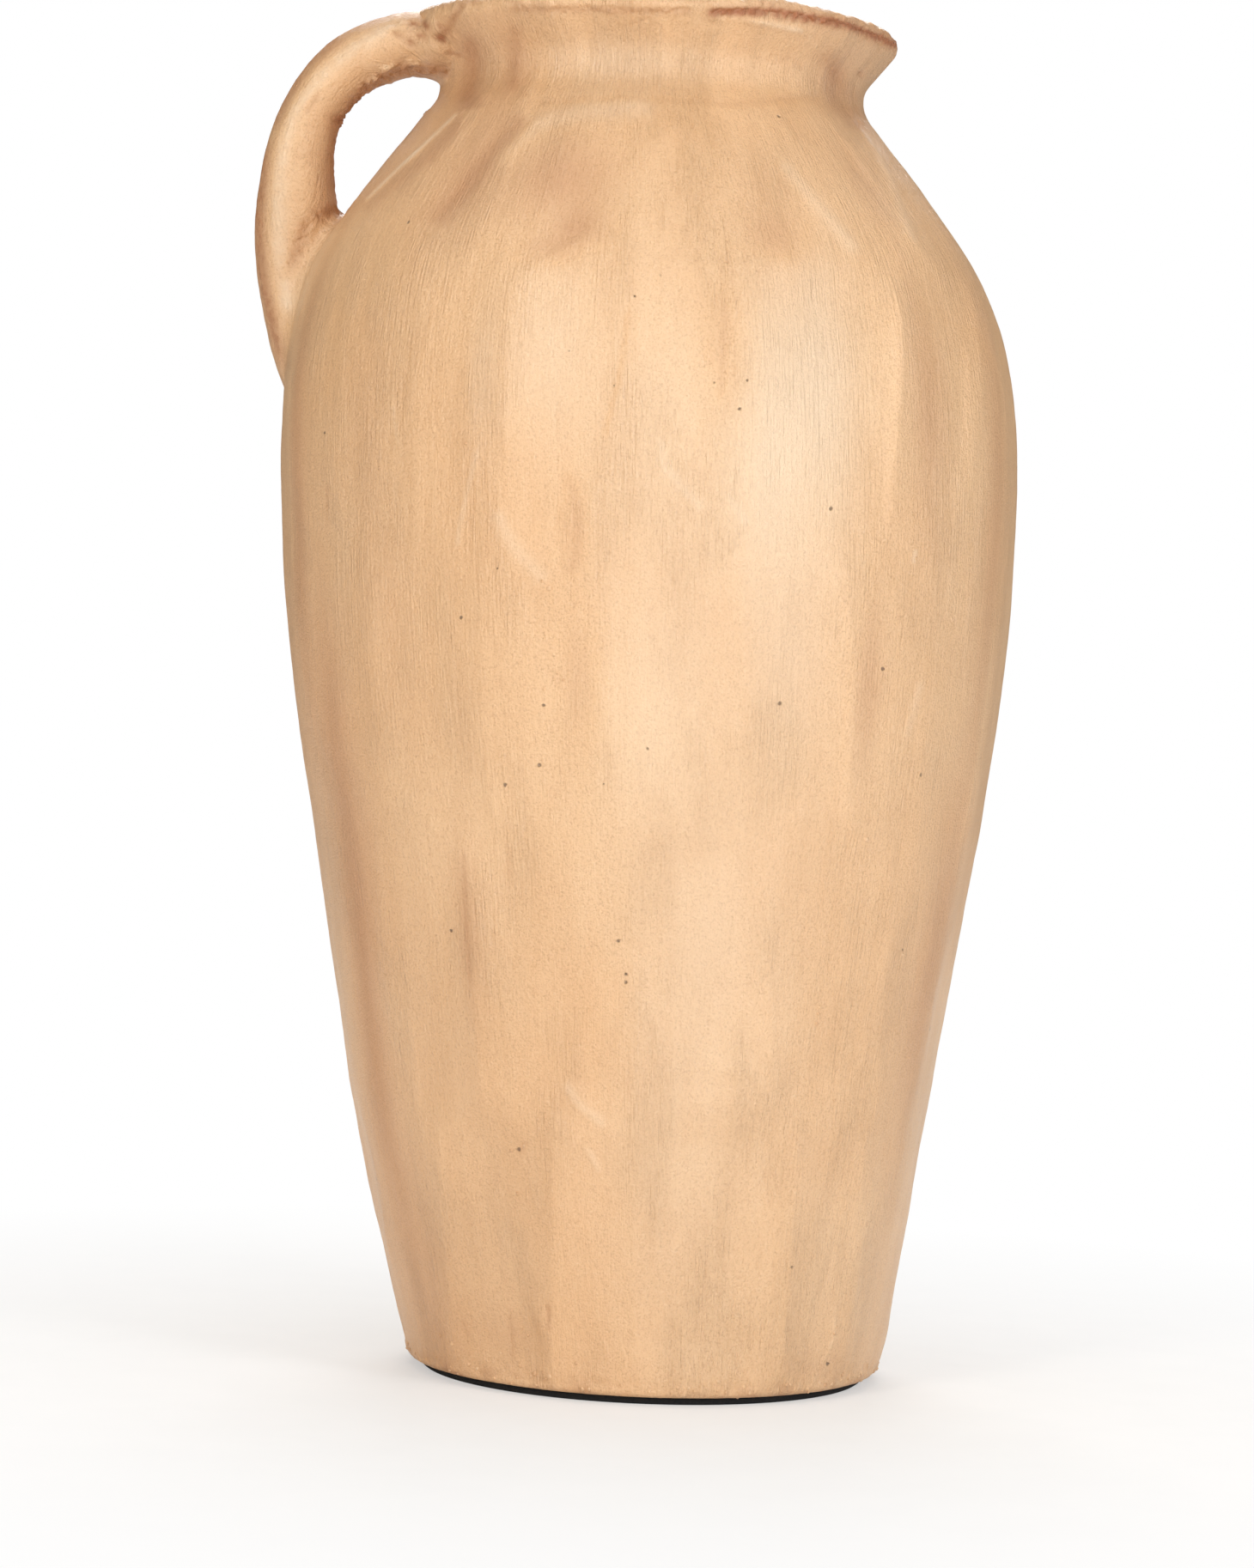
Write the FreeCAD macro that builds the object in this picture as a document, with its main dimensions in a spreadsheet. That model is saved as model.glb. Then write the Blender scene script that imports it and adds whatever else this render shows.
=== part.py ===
"""A large hand-built clay jug with a wide mouth and one looped handle.

The wall goes up in courses of clay, each luted on the one below and beaten with a paddle, so it is a ring of
shallow flats between soft corners that wander from course to course. The whole jug leans a little towards its
handle. Millimetres, +Z up. The origin is the middle of the pad under the foot, the handle is on the -X side and
the jug's front faces -Y.
"""

import FreeCAD, Part
import os
import Sketcher
from collections import namedtuple
from math import acos, atan2, cos, hypot, pi, radians, sin, sqrt

SIZES = {
    # foot
    "pad_inset": 7.3,
    "pad_thickness": 2.5,
    "slab_thickness": 11.0,
    "slab_edge_radius": 3.0,
    "slab_taper": 2.0,
    # height of each course of the wall
    "foot_course_height": 74.0,
    "lower_course_height": 81.0,
    "middle_course_height": 77.0,
    "belly_course_height": 102.0,
    "shoulder_course_height": 41.0,
    "neck_collar_height": 18.0,
    "rim_lip_height": 13.5,
    # outside, the belly measured across its soft corners
    "foot_diameter": 152.6,
    "belly_diameter": 232.6,
    "neck_diameter": 140.0,
    "neck_sag": 3.8,
    "lip_flare": 6.4,
    "wall_thickness": 9.0,
    "lip_edge_radius": 3.4,
    "lean": 13.2,
    # handle, a coil of clay bent down from the lip to the shoulder
    "handle_stand_off": 6.79,
    "handle_bend_height": 39.2,
    "handle_drop": 15.0,
    "handle_below_top": 1.0,
    "handle_root_radius": 122.0,
    "handle_spring_thickness": 19.5,
    "handle_grip_thickness": 19.0,
    "handle_root_thickness": 26.5,
    "handle_spring_width": 34.0,
    "handle_grip_width": 27.0,
    "handle_root_width": 28.0,
    "handle_spring_offset": 15.0,
    "handle_root_offset": 12.0,
    # wads of clay pressed round the two ends of the handle
    "top_wad_height": 24.0,
    "top_wad_depth": 22.0,
    "top_wad_end_height": 6.0,
    "top_wad_end_depth": 3.0,
    "top_wad_rise": 8.5,
    "root_wad_spread": 9.0,
    "root_wad_inset": 7.0,
    "root_wad_tip_width": 12.0,
    "root_wad_tip_thickness": 7.0,
}

# Where the soft corners between the paddled flats stand, in degrees round from +X.
CORNER_BEARINGS = (10, 38, 70, 104, 141, 172, 200, 224, 248, 287, 312, 332)

# One height at which a course's outline is set. A full share of 0 is as narrow as the end named, the foot or the
# neck, and 1 is as wide as the belly. A flat share is the radius of each flat over the outline's own radius, so 1
# is round. The turn moves the corners round, in degrees.
Level = namedtuple("Level", "end full_share height_share lean_share flat_share turn")

# Each course of the wall: its node, the cell of its height and its levels from the bottom up.
Course = namedtuple("Course", "node height levels")

FOOT = Level("foot_diameter", 0, 0, 0, 1, 6)
LOWER_JOINT = Level("foot_diameter", 0.39, 1, 0.3, 1.4, 1)
MIDDLE_JOINT = Level("foot_diameter", 0.72, 1, 0.4, 1.4, 6)
BELLY_JOINT = Level("foot_diameter", 0.97, 1, 0.58, 1.45, -3)
SHOULDER_JOINT = Level("neck_diameter", 0.7, 1, 0.84, 1.45, 5)
NECK_JOINT = Level("neck_diameter", 0, 1, 1, 1, 0)

FOOT_COURSE = Course(
    "foot_course",
    "foot_course_height",
    (FOOT, Level("foot_diameter", 0.2125, 0.5, 0.17, 1.4, 4), LOWER_JOINT),
)
LOWER_COURSE = Course(
    "lower_course",
    "lower_course_height",
    (LOWER_JOINT._replace(height_share=0), Level("foot_diameter", 0.5525, 0.5, 0.35, 1.45, 3), MIDDLE_JOINT),
)
MIDDLE_COURSE = Course(
    "middle_course",
    "middle_course_height",
    (MIDDLE_JOINT._replace(height_share=0), Level("foot_diameter", 0.87, 0.5, 0.5, 1.4, 2), BELLY_JOINT),
)
BELLY_COURSE = Course(
    "belly_course",
    "belly_course_height",
    (
        BELLY_JOINT._replace(height_share=0),
        Level("neck_diameter", 1, 0.31, 0.64, 1.45, 0),
        Level("neck_diameter", 0.944, 0.7, 0.76, 1.45, 2),
        SHOULDER_JOINT,
    ),
)
SHOULDER_COURSE = Course(
    "shoulder_course",
    "shoulder_course_height",
    (SHOULDER_JOINT._replace(height_share=0), Level("neck_diameter", 0.384, 0.49, 0.9, 1.3, 2), NECK_JOINT),
)
COURSES = (FOOT_COURSE, LOWER_COURSE, MIDDLE_COURSE, BELLY_COURSE, SHOULDER_COURSE)

# The stack from the floor up, as cells of the sheet.
STACK = ("pad_thickness", "slab_thickness") + tuple(course.height for course in COURSES)
STACK += ("neck_collar_height", "rim_lip_height")

# One cross-section of the handle, with its place, its tilt and its two widths as expressions.
Station = namedtuple("Station", "name x y z tilt thickness width")

# Two heights closer than this are the same height.
SAME_HEIGHT = 1e-6

doc = FreeCAD.newDocument("jug")
sheet = doc.addObject("Spreadsheet::Sheet", "Sizes")


def fill_sheet():
    """Every driving dimension gets a cell with its name as the alias."""
    for row, (name, size) in enumerate(SIZES.items(), start=1):
        sheet.set(f"A{row}", name)
        sheet.set(f"B{row}", str(size))
        sheet.setAlias(f"B{row}", name)
    doc.recompute()


def cell(name):
    return f"Sizes.{name}"


def value(expression):
    """What an expression over the sheet's cells comes to now, for a sketch's first guess."""
    result = sheet.evalExpression(expression)
    return float(result.Value if hasattr(result, "Value") else result)


def height_under(name):
    """The height at which the named layer of the stack starts."""
    below = STACK[: STACK.index(name)]
    return " + ".join(cell(layer) for layer in below) or "0"


TOTAL_HEIGHT = " + ".join(cell(layer) for layer in STACK)


def origin_plane(body, role):
    return next(feature for feature in body.Origin.OriginFeatures if feature.Role == role)


def new_body(node):
    body = doc.addObject("PartDesign::Body", node)
    body.Label = node
    return body


def new_sketch(body, name, role, base=("0", "0", "0"), tilt="0 deg"):
    """A sketch on one of its body's origin planes, moved there and tilted about its own Y by expressions."""
    sketch = body.newObject("Sketcher::SketchObject", name)
    sketch.AttachmentSupport = [(origin_plane(body, role), "")]
    sketch.MapMode = "FlatFace"
    sketch.AttachmentOffset = FreeCAD.Placement(FreeCAD.Vector(), FreeCAD.Rotation(FreeCAD.Vector(0, 1, 0), 1))
    for letter, expression in zip("xyz", base):
        sketch.setExpression(f"AttachmentOffset.Base.{letter}", expression)
    sketch.setExpression("AttachmentOffset.Rotation.Angle", tilt)
    return sketch


def bind(sketch, constraint, expression):
    """Add a constraint whose size follows an expression."""
    index = sketch.addConstraint(constraint)
    sketch.setExpression(f"Constraints[{index}]", expression)


def pin(sketch, geometry, end, x, y):
    """Tie one point of a sketch to its origin by two bound distances."""
    bind(sketch, Sketcher.Constraint("DistanceX", -1, 1, geometry, end, value(x)), x)
    bind(sketch, Sketcher.Constraint("DistanceY", -1, 1, geometry, end, value(y)), y)


def level_base(course, level):
    """The middle of a level: leaning towards the handle, at its height in the stack."""
    height = f"{height_under(course.height)} + {cell(course.height)} * {level.height_share}"
    return (f"-{cell('lean')} * {level.lean_share}", "0", height)


def level_radius(level):
    """The radius out to the soft corners at a level."""
    return f"({cell(level.end)} + ({cell('belly_diameter')} - {cell(level.end)}) * {level.full_share}) / 2"


def paddled_section(body, course, level):
    """The outside at one level: a ring of shallow arcs that meet at soft corners."""
    sketch = new_sketch(body, f"{course.node}_outside", "XY_Plane", level_base(course, level))
    radius = level_radius(level)
    corner_radius = value(radius)
    flat_radius = corner_radius * level.flat_share
    bearings = [bearing + level.turn for bearing in CORNER_BEARINGS]
    corners = [
        FreeCAD.Vector(corner_radius * cos(radians(b)), corner_radius * sin(radians(b)), 0) for b in bearings
    ]
    count = len(corners)
    for index, corner in enumerate(corners):
        following = corners[(index + 1) % count]
        middle = (corner + following) / 2
        half_chord = (following - corner).Length / 2
        rise = flat_radius - sqrt(flat_radius**2 - half_chord**2)
        crown = middle + FreeCAD.Vector(middle).normalize() * rise
        sketch.addGeometry(Part.Arc(corner, crown, following), False)
    for index, bearing in enumerate(bearings):
        sketch.addConstraint(Sketcher.Constraint("Coincident", index, 2, (index + 1) % count, 1))
        pin(sketch, index, 1, f"{radius} * cos({bearing} deg)", f"{radius} * sin({bearing} deg)")
        bind(sketch, Sketcher.Constraint("Radius", index, flat_radius), f"{radius} * {level.flat_share}")
    return sketch


def hollow_section(body, course, level):
    """The inside at one level, smoothed round by hand."""
    sketch = new_sketch(body, f"{course.node}_inside", "XY_Plane", level_base(course, level))
    radius = f"{level_radius(level)} - {cell('wall_thickness')}"
    sketch.addGeometry(Part.Circle(FreeCAD.Vector(), FreeCAD.Vector(0, 0, 1), value(radius)), False)
    sketch.addConstraint(Sketcher.Constraint("Coincident", 0, 3, -1, 1))
    bind(sketch, Sketcher.Constraint("Radius", 0, value(radius)), radius)
    return sketch


def loft(body, kind, name, sketches):
    feature = body.newObject(f"PartDesign::{kind}Loft", name)
    feature.Profile = sketches[0]
    feature.Sections = sketches[1:]
    return feature


def loft_outside(body, kind, course):
    """The full form of a course, to add as clay or to take away where the handle's clay meets it."""
    return loft(body, kind, f"{course.node}_form", [paddled_section(body, course, lev) for lev in course.levels])


def make_pad():
    pad = doc.addObject("Part::Cylinder", "foot_pad")
    pad.Label = "foot_pad"
    pad.setExpression("Radius", f"{cell('foot_diameter')} / 2 - {cell('pad_inset')}")
    pad.setExpression("Height", cell("pad_thickness"))
    return pad


def make_slab():
    """The round base slab, its lower edge softened all the way round."""
    body = new_body("base_slab")
    sketch = new_sketch(body, "slab_profile", "XZ_Plane")
    under = cell("pad_thickness")
    top = f"{under} + {cell('slab_thickness')}"
    points = (
        ("0", under),
        (f"{cell('foot_diameter')} / 2 - {cell('slab_taper')}", under),
        (f"{cell('foot_diameter')} / 2", top),
        ("0", top),
    )
    closed_outline(sketch, points)
    turn = body.newObject("PartDesign::Revolution", "slab_turn")
    turn.Profile = sketch
    turn.ReferenceAxis = (sketch, ["V_Axis"])
    turn.Angle = 360
    doc.recompute()
    rim = [
        f"Edge{number}"
        for number, edge in enumerate(turn.Shape.Edges, start=1)
        if edge.BoundBox.ZLength < SAME_HEIGHT and abs(edge.BoundBox.ZMin - value(under)) < SAME_HEIGHT
    ]
    fillet = body.newObject("PartDesign::Fillet", "slab_soft_edge")
    fillet.Base = (turn, rim)
    fillet.setExpression("Radius", cell("slab_edge_radius"))
    return body


def closed_outline(sketch, points):
    """Straight sides through the given points, each a pair of expressions, closed back to the first."""
    places = [FreeCAD.Vector(value(x), value(y), 0) for x, y in points]
    count = len(places)
    for index, place in enumerate(places):
        sketch.addGeometry(Part.LineSegment(place, places[(index + 1) % count]), False)
    for index, (x, y) in enumerate(points):
        sketch.addConstraint(Sketcher.Constraint("Coincident", index, 2, (index + 1) % count, 1))
        pin(sketch, index, 1, x, y)


def make_course(course):
    body = new_body(course.node)
    loft_outside(body, "Additive", course)
    loft(body, "Subtractive", "hollow", [hollow_section(body, course, level) for level in course.levels])
    return body


NECK_RADIUS = f"{cell('neck_diameter')} / 2"
NECK_CURVE = f"({cell('neck_collar_height')} ^ 2 / 4 + {cell('neck_sag')} ^ 2) / (2 * {cell('neck_sag')})"
NECK_BOTTOM = height_under("neck_collar_height")
LIP_BOTTOM = height_under("rim_lip_height")


def neck_arc(sketch, radius):
    """The waisted side of the neck, an arc from its top joint, end 1, down to its bottom joint, end 2."""
    bottom, top = value(NECK_BOTTOM), value(LIP_BOTTOM)
    waist = FreeCAD.Vector(value(radius) - value(cell("neck_sag")), (bottom + top) / 2, 0)
    ends = [FreeCAD.Vector(value(radius), height, 0) for height in (top, bottom)]
    arc = sketch.addGeometry(Part.Arc(ends[0], waist, ends[1]), False)
    pin(sketch, arc, 1, radius, LIP_BOTTOM)
    pin(sketch, arc, 2, radius, NECK_BOTTOM)
    bind(sketch, Sketcher.Constraint("Radius", arc, value(NECK_CURVE)), NECK_CURVE)
    return arc


def join_with_line(sketch, one, other):
    """A straight side from one geometry's end to another's, each given as its number and its end."""
    line = sketch.addGeometry(Part.LineSegment(sketch.getPoint(*one), sketch.getPoint(*other)), False)
    sketch.addConstraint(Sketcher.Constraint("Coincident", line, 1, *one))
    sketch.addConstraint(Sketcher.Constraint("Coincident", line, 2, *other))


def turned_sketch(body, name):
    """A sketch of a profile that turns about the jug's leaning middle at the neck."""
    return new_sketch(body, name, "XZ_Plane", (f"-{cell('lean')}", "0", "0"))


def revolve(body, kind, name, sketch):
    feature = body.newObject(f"PartDesign::{kind}", name)
    feature.Profile = sketch
    feature.ReferenceAxis = (sketch, ["V_Axis"])
    feature.Angle = 360
    return feature


def make_neck():
    body = new_body("neck_collar")
    sketch = turned_sketch(body, "neck_profile")
    outside = neck_arc(sketch, NECK_RADIUS)
    inside = neck_arc(sketch, f"{NECK_RADIUS} - {cell('wall_thickness')}")
    for end in (1, 2):
        join_with_line(sketch, (outside, end), (inside, end))
    revolve(body, "Revolution", "neck_turn", sketch)
    return body


LIP_MIDDLE = (
    f"{NECK_RADIUS} + {cell('lip_flare')} - {cell('lip_edge_radius')}",
    f"{TOTAL_HEIGHT} - {cell('lip_edge_radius')}",
)


def lip_edge(sketch, feet):
    """The rounded edge of the lip and its two straight flanks, which stand on the given feet.

    Each foot is a pair of expressions, the outer one first. The flanks leave the round without a corner.
    """
    middle = FreeCAD.Vector(value(LIP_MIDDLE[0]), value(LIP_MIDDLE[1]), 0)
    edge_radius = value(cell("lip_edge_radius"))
    places = [FreeCAD.Vector(value(x), value(y), 0) for x, y in feet]
    touch_angles = []
    for place, side in zip(places, (1, -1)):
        away = place - middle
        touch_angles.append(atan2(away.y, away.x) + side * acos(edge_radius / hypot(away.x, away.y)))
    start_angle, end_angle = touch_angles
    while end_angle < start_angle:
        end_angle += 2 * pi
    circle = Part.Circle(middle, FreeCAD.Vector(0, 0, 1), edge_radius)
    round_edge = sketch.addGeometry(Part.ArcOfCircle(circle, start_angle, end_angle), False)
    flanks = []
    for end, (place, foot) in enumerate(zip(places, feet), start=1):
        line = sketch.addGeometry(Part.LineSegment(place, sketch.getPoint(round_edge, end)), False)
        sketch.addConstraint(Sketcher.Constraint("Tangent", line, 2, round_edge, end))
        pin(sketch, line, 1, *foot)
        flanks.append(line)
    pin(sketch, round_edge, 3, *LIP_MIDDLE)
    bind(sketch, Sketcher.Constraint("Radius", round_edge, edge_radius), cell("lip_edge_radius"))
    return flanks


def make_lip():
    body = new_body("rim_lip")
    sketch = turned_sketch(body, "lip_profile")
    feet = ((NECK_RADIUS, LIP_BOTTOM), (f"{NECK_RADIUS} - {cell('wall_thickness')}", LIP_BOTTOM))
    outer_flank, inner_flank = lip_edge(sketch, feet)
    join_with_line(sketch, (outer_flank, 1), (inner_flank, 1))
    revolve(body, "Revolution", "lip_turn", sketch)
    return body


def cut_to_vessel(body):
    """Trim a piece of the handle to the outside of the courses, the neck and the lip that it is luted on."""
    loft_outside(body, "Subtractive", BELLY_COURSE)
    loft_outside(body, "Subtractive", SHOULDER_COURSE)
    neck = turned_sketch(body, "neck_seat")
    side = neck_arc(neck, NECK_RADIUS)
    middle = middle_line(neck, LIP_BOTTOM, NECK_BOTTOM)
    pin(neck, middle, 1, "0", LIP_BOTTOM)
    for end in (1, 2):
        join_with_line(neck, (middle, end), (side, end))
    revolve(body, "Groove", "neck_cut", neck)
    lip = turned_sketch(body, "lip_seat")
    outer_flank, top_side = lip_edge(lip, ((NECK_RADIUS, LIP_BOTTOM), ("0", TOTAL_HEIGHT)))
    middle = middle_line(lip, TOTAL_HEIGHT, LIP_BOTTOM)
    lip.addConstraint(Sketcher.Constraint("Coincident", middle, 1, top_side, 1))
    join_with_line(lip, (middle, 2), (outer_flank, 1))
    revolve(body, "Groove", "lip_cut", lip)


def middle_line(sketch, top, bottom):
    """A line down the middle of the neck between two heights. Only its lower end, 2, is tied in place."""
    ends = [FreeCAD.Vector(0, value(height), 0) for height in (top, bottom)]
    line = sketch.addGeometry(Part.LineSegment(*ends), False)
    pin(sketch, line, 2, "0", bottom)
    return line


def oval_section(body, name, role, base, tilt, thickness, width):
    """An oval whose thickness lies along the sketch's X and whose width lies along its Y."""
    sketch = new_sketch(body, name, role, base, tilt=tilt)
    half_thickness, half_width = value(thickness) / 2, value(width) / 2
    wide = half_width > half_thickness
    ends = [FreeCAD.Vector(0, half_width, 0), FreeCAD.Vector(half_thickness, 0, 0)]
    if not wide:
        ends.reverse()
    oval = sketch.addGeometry(Part.Ellipse(ends[0], ends[1], FreeCAD.Vector()), False)
    sketch.exposeInternalGeometry(oval)
    sketch.addConstraint(Sketcher.Constraint("Coincident", oval, 3, -1, 1))
    sketch.addConstraint(Sketcher.Constraint("Vertical" if wide else "Horizontal", oval + 1))
    lengths = (width, thickness) if wide else (thickness, width)
    for axis, length in enumerate(lengths, start=1):
        bind(sketch, Sketcher.Constraint("Distance", oval + axis, value(length)), length)
    return sketch


# The coil turns down far enough out to stand off the shoulder's joint, over a bend with a height of its own.
BEND_REACH = f"({level_radius(SHOULDER_JOINT)} - {NECK_RADIUS} + {cell('handle_stand_off')})"
BEND_MIDDLE_X = f"-({cell('lean')} + {NECK_RADIUS})"
HANDLE_TOP = f"{TOTAL_HEIGHT} - {cell('handle_below_top')}"
BEND_MIDDLE_Z = f"{HANDLE_TOP} - {cell('handle_spring_thickness')} / 2 - {cell('handle_bend_height')}"


def handle_offset(share):
    """How far to the back the coil lies, once the given share of its way from the lip to the root is done."""
    spring, root = cell("handle_spring_offset"), cell("handle_root_offset")
    return f"{root} * {share} - {spring} * {1 - share}"


def bend_station(swing, offset_share, thickness, width):
    """A cross-section on the quarter turn at the top, swung down from level by the given degrees."""
    return Station(
        f"bend_{swing}",
        f"{BEND_MIDDLE_X} - {BEND_REACH} * sin({swing} deg)",
        handle_offset(offset_share),
        f"{BEND_MIDDLE_Z} + {cell('handle_bend_height')} * cos({swing} deg)",
        f"-{90 + swing} deg",
        thickness,
        width,
    )


def root_station(swing, offset_share, thickness, width):
    """A cross-section on the long curve where the coil turns in and sinks into the belly."""
    radius = cell("handle_root_radius")
    return Station(
        f"root_{swing}",
        f"{BEND_MIDDLE_X} - {BEND_REACH} + {radius} * (1 - cos({swing} deg))",
        handle_offset(offset_share),
        f"{BEND_MIDDLE_Z} - {cell('handle_drop')} - {radius} * sin({swing} deg)",
        f"-{180 + swing} deg",
        thickness,
        width,
    )


def handle_stations():
    """The coil's cross-sections from inside the neck, over the bend and down to the root."""
    spring = (cell("handle_spring_thickness"), cell("handle_spring_width"))
    grip = (cell("handle_grip_thickness"), cell("handle_grip_width"))
    root = (cell("handle_root_thickness"), cell("handle_root_width"))
    level = bend_station(0, 0.04, *spring)
    buried = level._replace(
        name="buried", x=f"-({cell('lean')} + {NECK_RADIUS} - {cell('wall_thickness')})", y=handle_offset(0)
    )
    return (
        buried,
        level,
        bend_station(30, 0.15, f"({spring[0]} + {grip[0]}) / 2", f"({spring[1]} + {grip[1]}) / 2"),
        bend_station(60, 0.3, *grip),
        bend_station(90, 0.5, f"({grip[0]} + {root[0]}) / 2", grip[1]),
        root_station(0, 0.65, *root),
        root_station(12, 0.85, *root),
        root_station(24, 0.95, *root),
        root_station(33, 1, *root),
    )


def loft_handle(body, kind):
    sections = [
        oval_section(body, s.name, "XY_Plane", (s.x, s.y, s.z), s.tilt, s.thickness, s.width)
        for s in handle_stations()
    ]
    return loft(body, kind, "handle_coil", sections)


def make_handle():
    body = new_body("handle")
    loft_handle(body, "Additive")
    cut_to_vessel(body)
    return body


# The top wad's cross-sections: degrees round the neck from the coil, and how full each one is.
TOP_WAD_BEARINGS = (-30, -16, 0, 16, 30)
TOP_WAD_FULL_SHARES = (0, 0.6, 1, 0.6, 0)
TOP_WAD_MIDDLE_BEARING = 192


def make_top_wad():
    """Clay pressed round the coil where it leaves the lip, thinning out along the neck on both sides."""
    body = new_body("handle_top_wad")
    sections = []
    for index, (bearing, share) in enumerate(zip(TOP_WAD_BEARINGS, TOP_WAD_FULL_SHARES)):
        angle = f"{TOP_WAD_MIDDLE_BEARING + bearing} deg"
        base = (
            f"{NECK_RADIUS} * cos({angle}) - {cell('lean')}",
            f"{NECK_BOTTOM} + {cell('neck_collar_height')} / 2 + {cell('top_wad_rise')}",
            f"-{NECK_RADIUS} * sin({angle})",
        )
        depth = f"{cell('top_wad_end_depth')} * {1 - share} + {cell('top_wad_depth')} * {share}"
        height = f"{cell('top_wad_end_height')} * {1 - share} + {cell('top_wad_height')} * {share}"
        sections.append(oval_section(body, f"wad_{index}", "XZ_Plane", base, angle, depth, height))
    loft(body, "Additive", "wad_clay", sections)
    cut_to_vessel(body)
    loft_handle(body, "Subtractive")
    return body


def make_root_wad():
    """Clay smeared from the coil's lower end on to the shoulder and the belly, and up into the crotch."""
    body = new_body("handle_root_wad")
    inset, spread = cell("root_wad_inset"), cell("root_wad_spread")
    thickness, width = cell("handle_root_thickness"), cell("handle_root_width")
    tip = (cell("root_wad_tip_thickness"), cell("root_wad_tip_width"))
    crotch = root_station(0, 0.65, *tip)
    crotch = crotch._replace(
        name="crotch",
        x=f"{crotch.x} + {inset} * 2",
        z=f"{BEND_MIDDLE_Z} - {cell('handle_drop')} * 0.7",
    )
    stations = [crotch]
    for swing, offset_share, fullness_share in ((0, 0.65, 0.5), (12, 0.85, 1), (24, 0.95, 0.8)):
        section = (f"{thickness} - {inset}", f"{width} + {spread} * {2 * fullness_share}")
        station = root_station(swing, offset_share, *section)
        stations.append(station._replace(x=f"{station.x} + {inset}"))
    sections = [
        oval_section(body, f"wad_{s.name}", "XY_Plane", (s.x, s.y, s.z), s.tilt, s.thickness, s.width)
        for s in stations
    ]
    loft(body, "Additive", "wad_clay", sections)
    cut_to_vessel(body)
    loft_handle(body, "Subtractive")
    return body


def check_document():
    for item in doc.Objects:
        if "Invalid" in item.State or "Error" in item.State:
            raise RuntimeError(f"{item.Label} failed: {item.State}")


def write_nodes(nodes):
    os.makedirs("parts", exist_ok=True)
    for node in nodes:
        if node.Shape.isNull() or not node.Shape.isValid():
            raise RuntimeError(f"{node.Label} has no valid shape")
    for node in nodes:
        node.Shape.exportStep(f"parts/{node.Label}.step")
        box = node.Shape.BoundBox
        print(
            f"{node.Label}: {len(node.Shape.Solids)} solid, {node.Shape.Volume / 1000:.1f} cm3, "
            f"X {box.XMin:.1f} to {box.XMax:.1f}, Y {box.YMin:.1f} to {box.YMax:.1f}, "
            f"Z {box.ZMin:.1f} to {box.ZMax:.1f}"
        )


fill_sheet()
nodes = [make_pad(), make_slab()]
nodes += [make_course(course) for course in COURSES]
nodes += [make_neck(), make_lip(), make_handle(), make_top_wad(), make_root_wad()]
doc.recompute()
check_document()
write_nodes(nodes)
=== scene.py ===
"""The looks of the hand-built clay jug: brushed slip over paddled clay, the studio and the camera.

Lengths are millimetres until a mesh is made; the floor and the lights are in metres. A point on the jug is
given by its bearing in radians from +X and its height, or by its place in the photograph's frame.
"""

from math import atan2, cos, pi, radians, sin, sqrt

import bpy
import numpy as np
from mathutils import Matrix, Vector
from mathutils.bvhtree import BVHTree


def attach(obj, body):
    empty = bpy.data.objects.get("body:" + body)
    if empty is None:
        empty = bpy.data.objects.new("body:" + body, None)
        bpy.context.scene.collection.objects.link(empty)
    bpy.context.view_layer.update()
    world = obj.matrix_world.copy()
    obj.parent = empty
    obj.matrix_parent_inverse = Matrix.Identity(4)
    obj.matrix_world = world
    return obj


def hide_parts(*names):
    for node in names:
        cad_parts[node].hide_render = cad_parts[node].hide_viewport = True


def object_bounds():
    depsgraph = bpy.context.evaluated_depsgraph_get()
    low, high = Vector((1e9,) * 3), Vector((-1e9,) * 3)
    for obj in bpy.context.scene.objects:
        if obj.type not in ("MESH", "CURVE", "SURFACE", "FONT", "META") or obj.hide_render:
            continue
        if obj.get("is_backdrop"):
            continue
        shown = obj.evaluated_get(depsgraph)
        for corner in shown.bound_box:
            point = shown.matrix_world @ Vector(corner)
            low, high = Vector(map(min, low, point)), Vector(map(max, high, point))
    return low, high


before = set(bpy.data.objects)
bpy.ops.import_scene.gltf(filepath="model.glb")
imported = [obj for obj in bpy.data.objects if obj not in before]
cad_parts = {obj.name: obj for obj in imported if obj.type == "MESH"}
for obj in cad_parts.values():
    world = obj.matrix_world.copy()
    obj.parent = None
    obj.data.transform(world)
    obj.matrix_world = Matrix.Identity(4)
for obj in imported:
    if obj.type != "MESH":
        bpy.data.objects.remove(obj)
cad_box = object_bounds()
MM = 0.001

# The camera, as it was worked out from the ellipses of the lip and the foot.
FOCAL_PX = 4780.0
SENSOR_HEIGHT = 36.0
FRAME_PX = (1460.0, 1826.0)
EYE = np.array([-12.0, -1285.0, 201.5])
PITCH = radians(0.83)
ROLL = radians(2.35)
LOOK = np.array([0.0, cos(PITCH), -sin(PITCH)])
RIGHT = np.array([cos(ROLL), sin(ROLL) * sin(PITCH), sin(ROLL) * cos(PITCH)])
DOWN = np.array([sin(ROLL), -cos(ROLL) * sin(PITCH), -cos(ROLL) * cos(PITCH)])


def pixel_ray(px, py):
    """The direction in which the camera sees a point of the photograph."""
    ray = LOOK + RIGHT * (px - FRAME_PX[0] / 2) / FOCAL_PX + DOWN * (py - FRAME_PX[1] / 2) / FOCAL_PX
    return ray / np.linalg.norm(ray)


def new_object(name, data):
    """A new object of the scene that shows the data."""
    created = bpy.data.objects.new(name, data)
    bpy.context.scene.collection.objects.link(created)
    return created


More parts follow.
